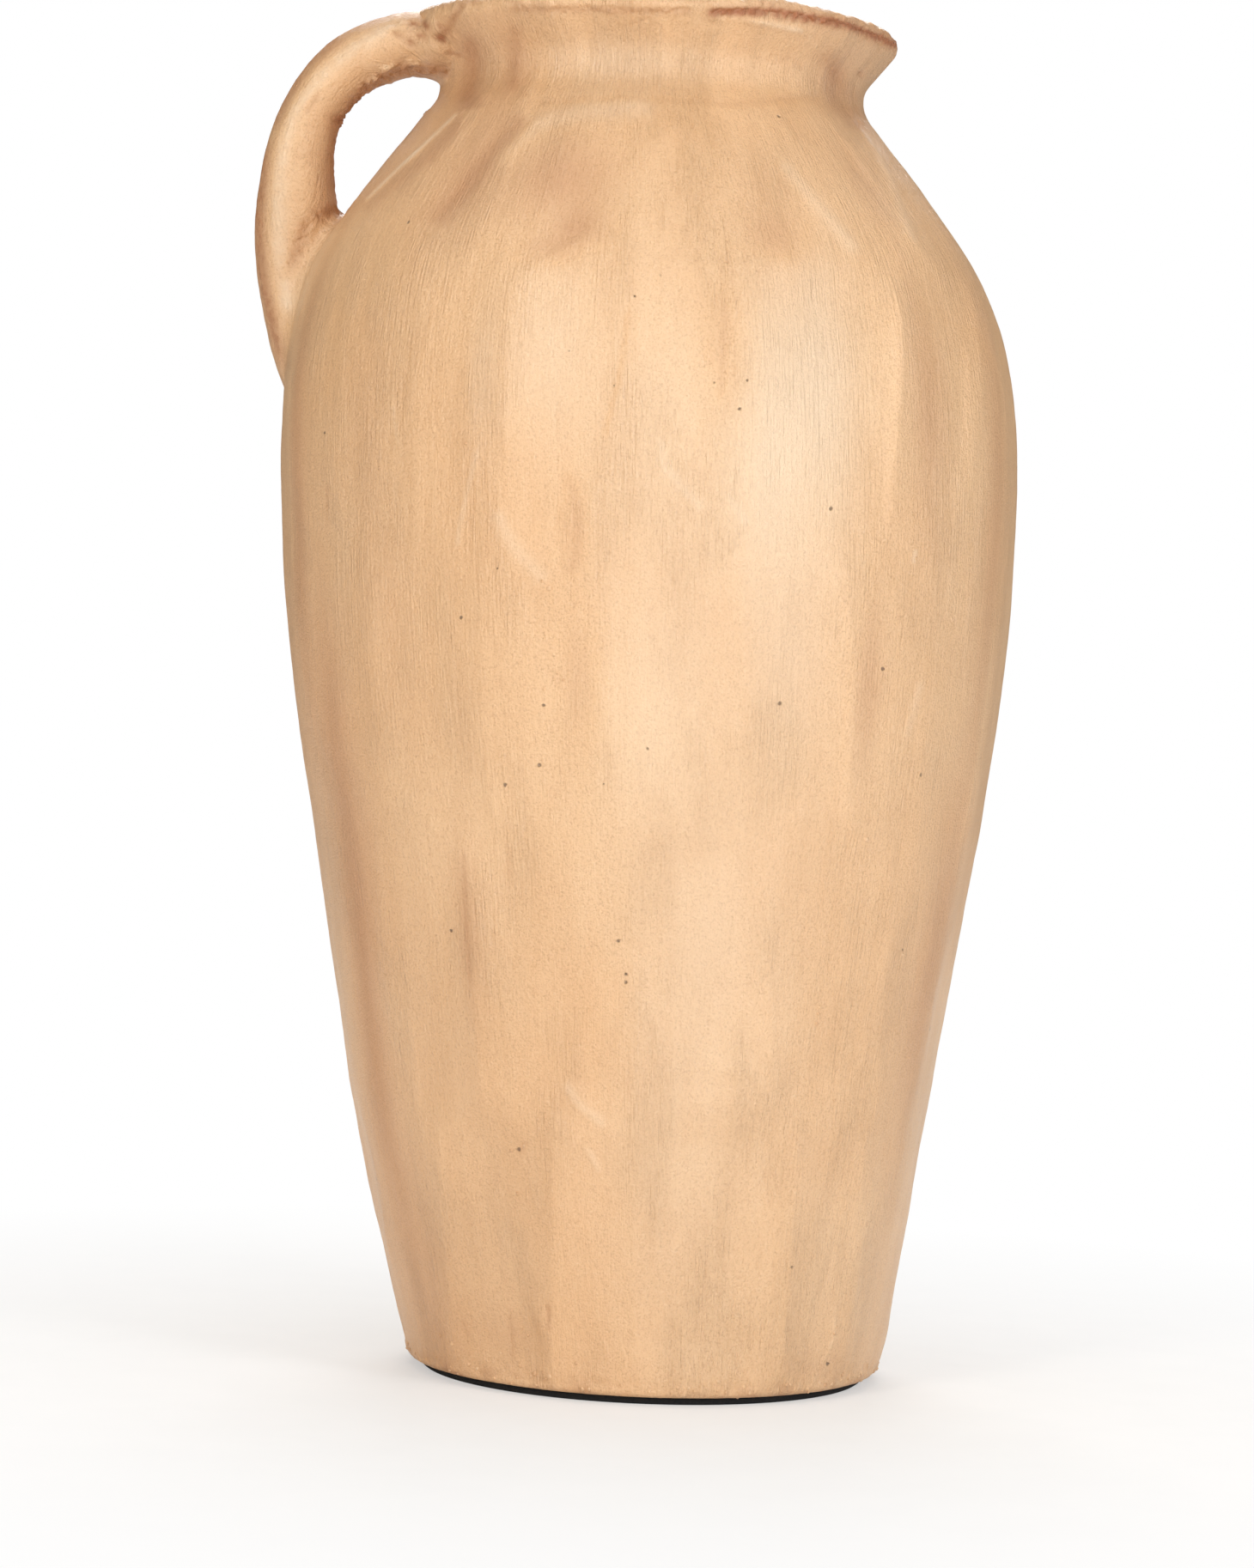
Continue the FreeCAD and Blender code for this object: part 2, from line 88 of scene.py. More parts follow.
def make_camera():
    data = bpy.data.cameras.new("camera")
    data.sensor_fit = "VERTICAL"
    data.sensor_height = SENSOR_HEIGHT
    data.lens = FOCAL_PX / FRAME_PX[1] * SENSOR_HEIGHT
    data.clip_start = 0.01
    camera = new_object("camera", data)
    rows = Matrix([[*axis] for axis in zip(RIGHT, -DOWN, -LOOK)])
    camera.matrix_world = Matrix.Translation(Vector(EYE * MM)) @ rows.to_4x4()
    bpy.context.scene.camera = camera


# Noise on points in space: what stirs the numbers of a lattice cell into random-looking bits.
CELL_FACTORS = (73856093, 19349663, 83492791)
SEED_FACTOR = 2654435761
STIRS = ((13, 1274126177), (16, 2246822519))
LAST_SHIFT = 13
ALL_BITS, TEN_BITS = 0xFFFFFFFF, 1023
NOISE_GAIN = 1.7


def lattice_hash(cells, seed):
    """Random-looking bits for each cell of the lattice."""
    key = np.full(len(cells), (seed * SEED_FACTOR) & ALL_BITS, np.uint32)
    for column, factor in zip(cells.T, CELL_FACTORS):
        key ^= column.astype(np.uint32) * np.uint32(factor)
    for shift, factor in STIRS:
        key ^= key >> np.uint32(shift)
        key *= np.uint32(factor)
    return key ^ (key >> np.uint32(LAST_SHIFT))


def noise(points, size, seed):
    """Smooth noise of about -1 to 1 whose lumps are the given size across, a number or one for each axis."""
    scaled = np.asarray(points, float) / size
    cell = np.floor(scaled).astype(np.int64)
    part = scaled - cell
    fade = part**3 * (part * (part * 6 - 15) + 10)
    total = np.zeros(len(scaled))
    for corner in range(8):
        step = np.array([corner & 1, corner >> 1 & 1, corner >> 2 & 1])
        key = lattice_hash(cell + step, seed)
        bits = [(key >> np.uint32(shift)) & np.uint32(TEN_BITS) for shift in (0, 10, 20)]
        weight = np.prod(np.where(step, fade, 1 - fade), axis=1)
        slopes = [bit / (TEN_BITS / 2) - 1 for bit in bits]
        total += weight * sum(slope * away for slope, away in zip(slopes, (part - step).T))
    return total * NOISE_GAIN


def lumps(points, layers):
    """Noise of several sizes together, each layer a height, a size and a seed."""
    return sum(height * noise(points, size, seed) for height, size, seed in layers)


def smooth_step(low, high, x):
    t = np.clip((x - low) / (high - low), 0, 1)
    return t * t * (3 - 2 * t)


def blurred(rows, sigma):
    """Rows smoothed along their first axis, the ends held."""
    reach = int(3 * sigma) + 1
    weights = np.exp(-0.5 * (np.arange(-reach, reach + 1) / sigma) ** 2)
    weights /= weights.sum()
    padded = np.concatenate([rows[:1]] * reach + [rows] + [rows[-1:]] * reach)
    return sum(w * padded[i : i + len(rows)] for i, w in enumerate(weights))


# The wall as the solids have it: the joints and the lean at heights up the jug, then the neck and the lip.
JOINTS = (13.5, 87.5, 168.5, 245.5, 347.5, 388.5)
COURSES = ("foot_course", "lower_course", "middle_course", "belly_course", "shoulder_course")
COURSE_SPANS = tuple(zip(COURSES, JOINTS, JOINTS[1:]))
LEAN_Z = (13.5, 50.5, 87.5, 128.0, 168.5, 207.0, 245.5, 277.1, 316.9, 347.5, 367.6, 388.5)
LEAN_SHARE = (0, 0.17, 0.3, 0.35, 0.4, 0.5, 0.58, 0.64, 0.76, 0.84, 0.9, 1)
LEAN = 13.2
NECK_TOP, TOP = 406.5, 420.0
NECK_RADIUS, NECK_SAG, WALL = 70.0, 3.8, 9.0
LIP_FLARE, LIP_ROUND = 6.4, 3.4

# How the wall's radii are read off the solids, smoothed and looked up again.
TABLE_Z = np.linspace(JOINTS[0] + 0.1, JOINTS[-1] - 0.1, 126)
TABLE_BEARINGS = 240
OUTSIDE = 200
OUTER_BLUR, INNER_BLUR = 1.3, 2
HARMONICS = 60
OUTER_SOFTNESS, INNER_SOFTNESS = 40, 20
LOOKUP_TURNS = 720
SLIVER = 0.001


def middle_x(z):
    return -LEAN * np.interp(z, LEAN_Z, LEAN_SHARE)


def course_tree():
    """The solids of the five courses as one surface to cast rays at."""
    corners, faces = [], []
    for node in COURSES:
        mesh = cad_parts[node].data
        start = len(corners)
        corners += [v.co / MM for v in mesh.vertices]
        faces += [[start + i for i in face.vertices] for face in mesh.polygons]
    return BVHTree.FromPolygons(corners, faces)


def radius_tables():
    """Outside and inside radius of the solids' wall at each table height, smoothed as soft clay is."""
    tree = course_tree()
    outer, inner = [], []
    for z in TABLE_Z:
        middle = Vector((float(middle_x(z)), 0, float(z)))
        out_row, in_row = [], []
        for step in range(TABLE_BEARINGS):
            angle = 2 * pi * step / TABLE_BEARINGS
            way = Vector((cos(angle), sin(angle), 0))
            out_row.append(OUTSIDE - tree.ray_cast(middle + way * OUTSIDE, -way)[3])
            in_row.append(tree.ray_cast(middle, way)[3])
        outer.append(out_row)
        inner.append(in_row)
    return blurred(np.array(outer), OUTER_BLUR), blurred(np.array(inner), INNER_BLUR)


OUTER_TABLE, INNER_TABLE = radius_tables()


def table_harmonics(table, softness):
    """The waves that a table's rows are made of, the fine ones weakened."""
    waves = np.fft.rfft(table, axis=1)[:, :HARMONICS] / TABLE_BEARINGS
    waves *= np.exp(-((np.arange(HARMONICS) / softness) ** 2))
    waves[:, 1:] *= 2
    return waves


OUTER_WAVES = table_harmonics(OUTER_TABLE, OUTER_SOFTNESS)
INNER_WAVES = table_harmonics(INNER_TABLE, INNER_SOFTNESS)


def wave_rows(waves, z):
    """The harmonics at any heights, by a smooth curve through the table's rows."""
    pitch = TABLE_Z[1] - TABLE_Z[0]
    place = np.clip((np.asarray(z, float) - TABLE_Z[0]) / pitch, 0, len(TABLE_Z) - 1 - SLIVER)
    row = np.floor(place).astype(int)
    t = (place - row)[:, None]
    last = len(waves) - 1
    a, b, c, d = (waves[np.clip(row + k, 0, last)] for k in (-1, 0, 1, 2))
    return b + 0.5 * t * (c - a + t * (2 * a - 5 * b + 4 * c - d + t * (3 * (b - c) + d - a)))


def radius_grid(waves, z, bearings):
    """Radii at each height and each bearing."""
    rows = wave_rows(waves, z)
    turns = np.exp(1j * np.outer(np.arange(rows.shape[1]), bearings))
    return (rows @ turns).real


LOOKUP_Z = np.arange(JOINTS[0], JOINTS[-1] + 1.01, 1.0)
LOOKUP = radius_grid(OUTER_WAVES, LOOKUP_Z, np.linspace(0, 2 * pi, LOOKUP_TURNS + 1))


def radius_at(bearing, z):
    """Outside radius at one or many points, from the shoulder down."""
    row = np.clip(z - LOOKUP_Z[0], 0, len(LOOKUP_Z) - 1 - SLIVER)
    column = np.mod(bearing, 2 * pi) / (2 * pi) * (LOOKUP_TURNS - SLIVER)
    i, j = row.astype(int), column.astype(int)
    s, t = row - i, column - j
    low = LOOKUP[i, j] * (1 - t) + LOOKUP[i, j + 1] * t
    high = LOOKUP[i + 1, j] * (1 - t) + LOOKUP[i + 1, j + 1] * t
    return low * (1 - s) + high * s


# The wall's section from the foot up over the lip and down inside: rows of points and the slab's sizes.
LIP_FLANK_ROWS, LIP_EDGE_ROWS, LIP_INSIDE_ROWS = 18, 22, 12
NECK_ROWS, NECK_INSIDE_ROWS, FLOOR_ROWS = 22, 12, 30
UNDERSIDE_ROWS, SLAB_EDGE_ROWS, SLAB_SIDE_ROWS = 40, 9, 10
INSIDE_PITCH = 4
AXIS_RADIUS, UNDERSIDE_RADIUS, PAD_TOP = 0.5, 70, 2.5
SLAB_EDGE_MIDDLE, SLAB_EDGE_ROUND, SLAB_TOP_RADIUS = (71.2, 5.6), 3.1, 76.3
FLOOR_RADIUS = 67.3


def arc_points(middle, radius, start, end, count):
    angles = np.linspace(start, end, count)
    return np.column_stack([middle[0] + radius * np.cos(angles), middle[1] + radius * np.sin(angles)])


def neck_section(offset, count):
    """The waisted side of the neck from bottom to top, moved in by the offset."""
    half = (NECK_TOP - JOINTS[-1]) / 2
    radius = (half**2 + NECK_SAG**2) / (2 * NECK_SAG)
    swing = np.arcsin(half / radius)
    middle = (NECK_RADIUS - offset - NECK_SAG + radius, JOINTS[-1] + half)
    return arc_points(middle, radius, pi + swing, pi - swing, count)


def lip_section():
    """Up the lip's outer flank, over its round edge and down inside, from joint to joint."""
    middle = np.array([NECK_RADIUS + LIP_FLARE - LIP_ROUND, TOP - LIP_ROUND])
    feet = np.array([[NECK_RADIUS, NECK_TOP], [NECK_RADIUS - WALL, NECK_TOP]])
    touch = []
    for foot, side in zip(feet, (1, -1)):
        away = foot - middle
        touch.append(atan2(away[1], away[0]) + side * np.arccos(LIP_ROUND / np.hypot(*away)))
    start, end = touch
    while end < start:
        end += 2 * pi
    edge = arc_points(middle, LIP_ROUND, start, end, LIP_EDGE_ROWS)
    up = feet[0] + np.linspace(0, 1, LIP_FLANK_ROWS)[:, None] * (edge[0] - feet[0])
    down = edge[-1] + np.linspace(0, 1, LIP_INSIDE_ROWS)[:, None] * (feet[1] - edge[-1])
    return np.concatenate([up, edge[1:-1], down])


def slab_section():
    """From the middle of the underside round the soft lower edge to the slab's top edge."""
    under = np.linspace((AXIS_RADIUS, PAD_TOP), (UNDERSIDE_RADIUS, PAD_TOP), UNDERSIDE_ROWS)
    edge = arc_points(SLAB_EDGE_MIDDLE, SLAB_EDGE_ROUND, -pi / 2, -radians(8), SLAB_EDGE_ROWS)
    top = np.array([SLAB_TOP_RADIUS, JOINTS[0]])
    side = edge[-1] + np.linspace(0, 1, SLAB_SIDE_ROWS)[1:, None] * (top - edge[-1])
    return np.concatenate([under, edge, side])


BEARINGS = np.linspace(0, 2 * pi, 720, endpoint=False)


def wall_sections():
    """Name, radii and heights of each stretch of the wall, from under the foot over the lip to the floor."""
    yield "base_slab", *slab_section().T
    for node, low, high in COURSE_SPANS:
        z = np.linspace(low, high, round(high - low) + 1)
        yield node, radius_grid(OUTER_WAVES, z, BEARINGS), z
    yield "neck_collar", *neck_section(0, NECK_ROWS).T
    yield "rim_lip", *lip_section().T
    yield "neck_collar_in", *neck_section(WALL, NECK_INSIDE_ROWS)[::-1].T
    for node, low, high in reversed(COURSE_SPANS):
        z = np.linspace(high, low, round((high - low) / INSIDE_PITCH) + 1)
        yield node + "_in", radius_grid(INNER_WAVES, z, BEARINGS), z
    yield "base_slab_in", np.linspace(FLOOR_RADIUS, AXIS_RADIUS, FLOOR_ROWS), np.full(FLOOR_ROWS, JOINTS[0])


def build_grid():
    """All rows of the wall as points, and the rows of each stretch. Neighbours share the row at a joint."""
    across, deep = np.cos(BEARINGS), np.sin(BEARINGS)
    rows, spans = [], {}
    for name, radii, heights in wall_sections():
        start = max(len(rows) - 1, 0)
        for radius, z in list(zip(radii, heights))[1 if rows else 0 :]:
            x, y = middle_x(z) + radius * across, radius * deep
            rows.append(np.column_stack([x, y, np.full(len(x), z)]))
        spans[name] = (start, len(rows))
    return np.array(rows), spans


GRID, GRID_SPANS = build_grid()
WALL_ROWS = (GRID_SPANS["foot_course"][0], GRID_SPANS["rim_lip"][1])

# Joints that were smoothed over by hand: the height and how far up and down the smoothing reaches.
SOFT_JOINTS = ((JOINTS[0], 3.0), (JOINTS[-1], 6.0), (NECK_TOP, 4.0))
SOFT_ROWS, SOFT_START = 3.0, 4


def soften_creases(grid):
    """Clay smoothed by hand over the joints of the slab, the neck and the lip."""
    soft = blurred(grid, SOFT_ROWS)
    part = slice(WALL_ROWS[0] - SOFT_START, GRID_SPANS["rim_lip"][0] + LIP_FLANK_ROWS - 1)
    for height, reach in SOFT_JOINTS:
        weight = np.exp(-(((grid[part, :, 2] - height) / reach) ** 2))[:, :, None]
        grid[part] += (soft[part] - grid[part]) * weight
    return grid


def grid_normals(grid):
    """Outward normals of the rows taken as one surface, so both sides of a joint have the same."""
    along = np.gradient(grid, axis=0)
    around = np.roll(grid, -1, axis=1) - np.roll(grid, 1, axis=1)
    normals = np.cross(around, along)
    length = np.linalg.norm(normals, axis=2, keepdims=True)
    return normals / np.maximum(length, 1e-9)


GRID = soften_creases(GRID)
NORMALS = grid_normals(GRID)

# Places on the wall that the photograph shows. A ray starts short of the wall and creeps up to it.
RAY_START, RAY_CREEP, RAY_STEPS = 1155.0, 0.7, 60


def on_wall(px, py):
    """The bearing and height at which the camera's ray through a pixel meets the wall."""
    ray = pixel_ray(px, py)
    far = RAY_START
    for _ in range(RAY_STEPS):
        point = EYE + ray * far
        z = min(max(point[2], JOINTS[0]), JOINTS[-1])
        x = point[0] - middle_x(z)
        bearing = atan2(point[1], x)
        gap = sqrt(x * x + point[1] ** 2) - radius_at(bearing, z)
        far += gap * RAY_CREEP
    return bearing, point[2]


def frame_place(points):
    """Where the camera sees points, in the photograph's frame."""
    away = points - EYE
    depth = away @ LOOK
    across, down = FOCAL_PX * (away @ RIGHT) / depth, FOCAL_PX * (away @ DOWN) / depth
    return across + FRAME_PX[0] / 2, down + FRAME_PX[1] / 2


# Flats beaten into the wall: top and bottom in the frame, the left and right edge at each, and how flat.
FLATS = (
    (330, 640, (887, 1042), (884, 1032), 0.85),
    (330, 600, (1042, 1126), (1032, 1122), 0.75),
    (325, 600, (745, 887), (740, 884), 0.45),
    (320, 560, (597, 745), (590, 740), 0.6),
    (300, 620, (500, 597), (480, 590), 0.5),
    (360, 640, (410, 500), (400, 480), 0.5),
    (660, 960, (862, 988), (880, 985), 0.75),
    (650, 930, (988, 1090), (985, 1070), 0.6),
    (660, 940, (700, 862), (715, 880), 0.4),
    (680, 960, (560, 700), (570, 715), 0.5),
    (660, 960, (430, 560), (450, 570), 0.4),
    (985, 1290, (540, 735), (560, 740), 0.4),
    (985, 1290, (735, 890), (740, 900), 0.5),
    (985, 1290, (890, 1040), (900, 1020), 0.5),
    (985, 1290, (440, 540), (460, 560), 0.5),
    (1310, 1590, (645, 742), (640, 738), 0.65),
    (1310, 1590, (742, 930), (738, 912), 0.55),
    (1310, 1590, (930, 1010), (912, 985), 0.7),
    (1310, 1590, (510, 645), (525, 640), 0.5),
)

# Flats at the right and the left limb: the line of the edge that shows, the turn to the hidden edge, how
# flat.
LIMB_FLATS = (
    (((1166, 720), (1152, 850), (1118, 1000), (1094, 1120), (1066, 1330)), 0.3, 0.6),
    (((352, 600), (354, 770)), -0.25, 0.3),
    (((440, 1350), (452, 1460)), -0.3, 0.5),
)

# Swellings and dents: the middle, half the width and height in millimetres, the turn in degrees, the height.
SWELLS = (
    ((672, 222), (10, 19), -18, -1.15),
    ((800, 190), (16, 15), 0, 0.35),
    ((912, 250), (13, 15), 25, -1.0),
    ((1010, 210), (9, 16), 28, -0.7),
    ((530, 215), (12, 17), -30, -0.6),
    ((1080, 300), (8, 14), 30, 0.35),
    ((612, 592), (8, 11), 10, -0.45),
    ((655, 630), (4.5, 9), 12, -0.35),
    ((604, 648), (5, 5), 40, 0.35),
    ((830, 540), (12, 12), 0, 0.3),
    ((905, 745), (13, 17), 0, -0.45),
    ((872, 858), (5, 4), 0, 0.4),
    ((905, 893), (7, 4), 20, 0.35),
    ((932, 955), (5, 3), 20, 0.4),
    ((780, 925), (9, 6), 0, 0.35),
    ((645, 880), (8, 12), 0, -0.4),
    ((590, 1040), (6, 20), 0, -0.35),
    ((745, 1130), (9, 22), 0, -0.3),
    ((850, 1245), (6, 3), 0, 0.35),
    ((946, 1241), (3, 1.6), -15, 0.3),
    ((668, 1278), (5, 3.5), -40, 0.3),
    ((700, 1420), (7, 13), 0, -0.35),
    ((628, 1540), (2.4, 5), 8, 0.45),
    ((985, 1440), (7, 18), 10, -0.4),
    ((1045, 960), (6, 18), 8, -0.35),
    ((460, 850), (8, 22), 0, -0.35),
    ((500, 1260), (7, 20), 4, -0.35),
)

# Ridges and grooves: the line, half the width in millimetres, the height, the tone. The tone paints shade
# into the grooves and highlights onto the ridges, and the faint ridges down both limbs carry painted
# reflections.
STROKES = (
    (((572, 200), (590, 174), (625, 146), (680, 130), (770, 121)), 4.0, 0.6, -0.22),
    (((615, 127), (560, 190), (495, 265)), 5.0, -0.45, 0.3),
    (((905, 182), (950, 235), (1003, 300)), 2.8, 0.4, -0.18),
    (((1002, 146), (1040, 215), (1062, 292)), 2.6, 0.4, -0.12),
    (((768, 505), (772, 540), (793, 566), (823, 597)), 1.3, 0.2, -0.16),
    (((845, 575), (862, 597), (871, 612)), 1.0, 0.25, -0.15),
    (((572, 590), (598, 636), (638, 682)), 2.2, 0.26, -0.2),
    (((650, 546), (666, 572), (674, 610), (671, 652), (654, 676)), 1.5, -0.22, 0.16),
    (((557, 515), (545, 560), (535, 608), (531, 644)), 0.8, 0.22, -0.2),
    (((733, 352), (722, 430), (701, 520)), 0.8, -0.16, 0.2),
    (((1067, 638), (1065, 658)), 0.8, 0.4, -0.4),
    (((539, 985), (540, 1060), (546, 1156)), 0.9, -0.16, 0.16),
    (((586, 966), (590, 1000), (588, 1040)), 0.8, -0.14, 0.12),
    (((572, 1080), (574, 1110)), 0.6, -0.14, 0.14),
    (((655, 1260), (674, 1288), (706, 1314)), 1.4, 0.24, -0.2),
    (((681, 1336), (689, 1350), (698, 1368)), 0.9, 0.35, -0.15),
    (((637, 1518), (638, 1552)), 0.8, -0.5, 0.25),
    (((589, 1528), (588, 1595)), 1.0, -0.3, 0.15),
    (((536, 1536), (541, 1560)), 0.9, -0.35, 0.2),
    (((977, 1530), (974, 1560), (962, 1592)), 0.9, 0.35, -0.1),
    (((440, 585), (452, 604)), 0.8, 0.25, -0.15),
    (((337, 440), (336, 520), (337, 600), (341, 680)), 0.8, 0.12, -0.2),
    (((1160, 720), (1146, 850), (1112, 1000)), 0.8, 0.12, -0.15),
    (((1075, 789), (1057, 861)), 1.5, 0.25, -0.12),
    (((455, 470), (462, 520)), 0.7, 0.25, -0.15),
    (((845, 338), (838, 470)), 1.0, -0.15, 0.15),
    (((612, 1330), (600, 1345)), 0.9, -0.4, 0.2),
    (((380, 560), (379, 610)), 0.8, -0.25, 0.2),
)

# Edges where one layer ends on another: the line, with the raised side on its left, the rise and the reach.
STEPS = (
    (((960, 303), (845, 304), (760, 298), (690, 262)), 0.42, 9),
    (((690, 262), (655, 285), (620, 305), (590, 314)), 0.4, 7),
    (((884, 640), (887, 480), (888, 335)), 0.38, 7),
    (((1042, 335), (1040, 480), (1034, 620)), 0.4, 6),
    (((1126, 400), (1124, 530)), 0.25, 7),
    (((592, 520), (592, 420), (606, 322)), 0.22, 8),
    (((858, 700), (862, 800), (868, 850)), 0.32, 6),
    (((985, 690), (992, 800), (984, 930)), 0.36, 6),
    (((700, 760), (676, 900), (690, 1010)), 0.12, 8),
    (((742, 1320), (740, 1590)), 0.16, 8),
    (((645, 1330), (640, 1600)), 0.14, 7),
    (((931, 1345), (914, 1560)), 0.18, 7),
    (((1010, 1395), (986, 1560)), 0.18, 6),
)

# Painted shade along both limbs, in the shoulder's dents and beside raised edges, painted highlights on the
# lit front flats, and some darker or paler clay: the middle, half the width and height in millimetres, how
# much.
TONES_AND_PAINTED_LIGHT = (
    ((540, 190), (13, 20), 0.2),
    ((650, 205), (15, 13), 0.4),
    ((672, 262), (7, 6), 0.35),
    ((640, 288), (8, 5), 0.3),
    ((590, 75), (8, 14), 0.28),
    ((540, 80), (7, 14), 0.35),
    ((985, 105), (7, 9), 0.4),
    ((905, 275), (10, 7), 0.3),
    ((905, 225), (10, 12), 0.16),
    ((1012, 215), (7, 15), 0.16),
    ((1085, 470), (8, 36), 0.3),
    ((1012, 800), (5, 26), 0.3),
    ((842, 410), (6, 18), 0.18),
    ((676, 790), (5, 20), 0.2),
    ((668, 610), (4, 12), 0.15),
    ((545, 1080), (5, 26), 0.22),
    ((420, 480), (9, 36), 0.12),
    ((450, 700), (10, 30), 0.12),
    ((430, 1000), (8, 36), 0.12),
    ((965, 1590), (14, 5), 0.12),
    ((640, 400), (13, 28), -0.25),
    ((960, 450), (13, 40), -0.45),
    ((890, 560), (12, 30), -0.3),
    ((900, 420), (9, 30), -0.2),
    ((770, 470), (24, 40), -0.16),
    ((780, 720), (24, 50), -0.14),
    ((930, 760), (20, 50), -0.1),
    ((810, 1100), (28, 60), -0.15),
    ((800, 1400), (26, 50), -0.12),
    ((345, 560), (7, 70), 0.42),
    ((395, 900), (9, 60), 0.38),
    ((435, 1230), (9, 60), 0.38),
    ((500, 1500), (10, 40), 0.2),
    ((1160, 600), (8, 70), 0.3),
    ((1080, 1150), (9, 60), 0.35),
    ((920, 760), (11, 26), -0.15),
    ((760, 830), (14, 30), -0.12),
    ((720, 70), (26, 9), -0.2),
    ((560, 440), (5, 22), -0.15),
    ((830, 1090), (12, 36), -0.1),
    ((700, 1180), (8, 28), 0.08),
    ((590, 1560), (12, 8), 0.1),
)

# How strongly flats and swellings are worked in, how far they reach, and how a stroke fades at its ends.
FLAT_GAIN, FLAT_OUTSIDE, FLAT_INSIDE = 66, 10, 8
LIMB_GAIN, LIMB_OUTSIDE, LIMB_INSIDE = 50, 22, 12
SWELL_GAIN = 1.5
OVAL_REACH, LINE_REACH = 2.6, 3
STROKE_END = 0.12
STROKE_EVEN, STROKE_UNEVEN, STROKE_TURN = 0.75, 0.6, 70
LAYER_EDGE = 0.9
LEAST_RADIUS = 60
FAR_OFF = 1e9


def placed(line):
    """A line in the frame as bearings and heights on the wall."""
    return np.array([on_wall(*point) for point in line])


def placed_edge(left_right, py):
    """The left and right end of a flat's edge on the wall."""
    return placed([(px, py) for px in left_right])


PLACED_FLATS = [
    (placed_edge(upper, top), placed_edge(lower, bottom), flatness)
    for top, bottom, upper, lower, flatness in FLATS
]
PLACED_LIMBS = [(placed(line), *rest) for line, *rest in LIMB_FLATS]
PLACED_STROKES = [(placed(line), *rest) for line, *rest in STROKES]
PLACED_STEPS = [(placed(line), *rest) for line, *rest in STEPS]
PLACED_SWELLS = [
    (placed([middle])[0], half, radians(turn), SWELL_GAIN * height) for middle, half, turn, height in SWELLS
]
# the painted shade, painted highlights and darker or paler clay, placed on the wall
PLACED_TONES_AND_PAINTED_LIGHT = [(placed([middle])[0], half, 0, amount) for middle, half, amount in TONES_AND_PAINTED_LIGHT]


def flat_distance(across, up, corners):
    """Distance to a line through corners, which side of it, and how far along it, at points of a plane."""
    lengths = np.linalg.norm(np.diff(corners, axis=0), axis=1)
    gap, side, along = np.full(len(up), FAR_OFF), np.zeros(len(up)), np.zeros(len(up))
    for index, (start, end) in enumerate(zip(corners, corners[1:])):
        way = (end - start) / lengths[index]
        u, v = across - start[0], up - start[1]
        reach = np.clip(u * way[0] + v * way[1], 0, lengths[index])
        distance = np.hypot(u - reach * way[0], v - reach * way[1])
        nearer = distance < gap
        gap = np.where(nearer, distance, gap)
        side = np.where(nearer, np.sign(way[0] * v - way[1] * u), side)
        along = np.where(nearer, lengths[:index].sum() + reach, along)
    return gap, side, along / lengths.sum()


def line_distance(bearing, z, line):
    """The same for a line on the wall."""
    radius = radius_at(*line.T).mean()
    return flat_distance(bearing * radius, z, line * (radius, 1))


def near_line(bearing, z, line, reach):
    """Which points may lie within reach of a line."""
    turn = reach / LEAST_RADIUS
    low, high = line.min(axis=0), line.max(axis=0)
    beside = (bearing > low[0] - turn) & (bearing < high[0] + turn)
    return np.flatnonzero(beside & (z > low[1] - reach) & (z < high[1] + reach))


def ends_fade(along):
    return smooth_step(0, STROKE_END, along) * (1 - smooth_step(1 - STROKE_END, 1, along))


def height_fade(z, low, high, outside, inside):
    """One between two heights, falling to nought from a little inside them to a little outside."""
    return smooth_step(low - outside, low + inside, z) * (1 - smooth_step(high - inside, high + outside, z))


def add_ovals(total, bearing, z, ovals):
    """Add each oval's amount to the points, full in its middle and falling softly to nought outside it."""
    for middle, half, turn, amount in ovals:
        near = near_line(bearing, z, middle[None], OVAL_REACH * max(half))
        u = (bearing[near] - middle[0]) * radius_at(*middle)
        v = z[near] - middle[1]
        a, b = u * cos(turn) + v * sin(turn), v * cos(turn) - u * sin(turn)
        total[near] += amount * np.exp(-((a / half[0]) ** 2 + (b / half[1]) ** 2))


def stroke_shares(bearing, z):
    """For each stroke the points near it, the distance to it, its share there, its height and its tone, which
    is painted shade or painted highlight.
    """
    for line, width, height, amount in PLACED_STROKES:
        near = near_line(bearing, z, line, LINE_REACH * width)
        gap, _, along = line_distance(bearing[near], z[near], line)
        yield near, gap, np.exp(-((gap / width) ** 2)) * ends_fade(along), height, amount


def flats_relief(bearing, z):
    """How far the beaten flats cut below the round wall."""
    relief = np.zeros(len(z))
    for upper, lower, flatness in PLACED_FLATS:
        low, high = lower[:, 1].mean(), upper[:, 1].mean()
        share = np.clip((z - low) / (high - low), 0, 1)
        left, right = (lower[side, 0] + (upper[side, 0] - lower[side, 0]) * share for side in (0, 1))
        inside = np.maximum((bearing - left) * (right - bearing), 0)
        relief -= flatness * FLAT_GAIN * inside * height_fade(z, low, high, FLAT_OUTSIDE, FLAT_INSIDE)
    for line, turn, flatness in PLACED_LIMBS:
        order = np.argsort(line[:, 1])
        edge = np.interp(z, line[order, 1], line[order, 0])
        past = np.mod(edge - bearing, 2 * pi) if turn < 0 else np.maximum(bearing - edge, 0)
        inside = np.maximum(past * (abs(turn) - past), 0)
        low, high = line[:, 1].min(), line[:, 1].max()
        relief -= flatness * LIMB_GAIN * inside * height_fade(z, low, high, LIMB_OUTSIDE, LIMB_INSIDE)
    return relief


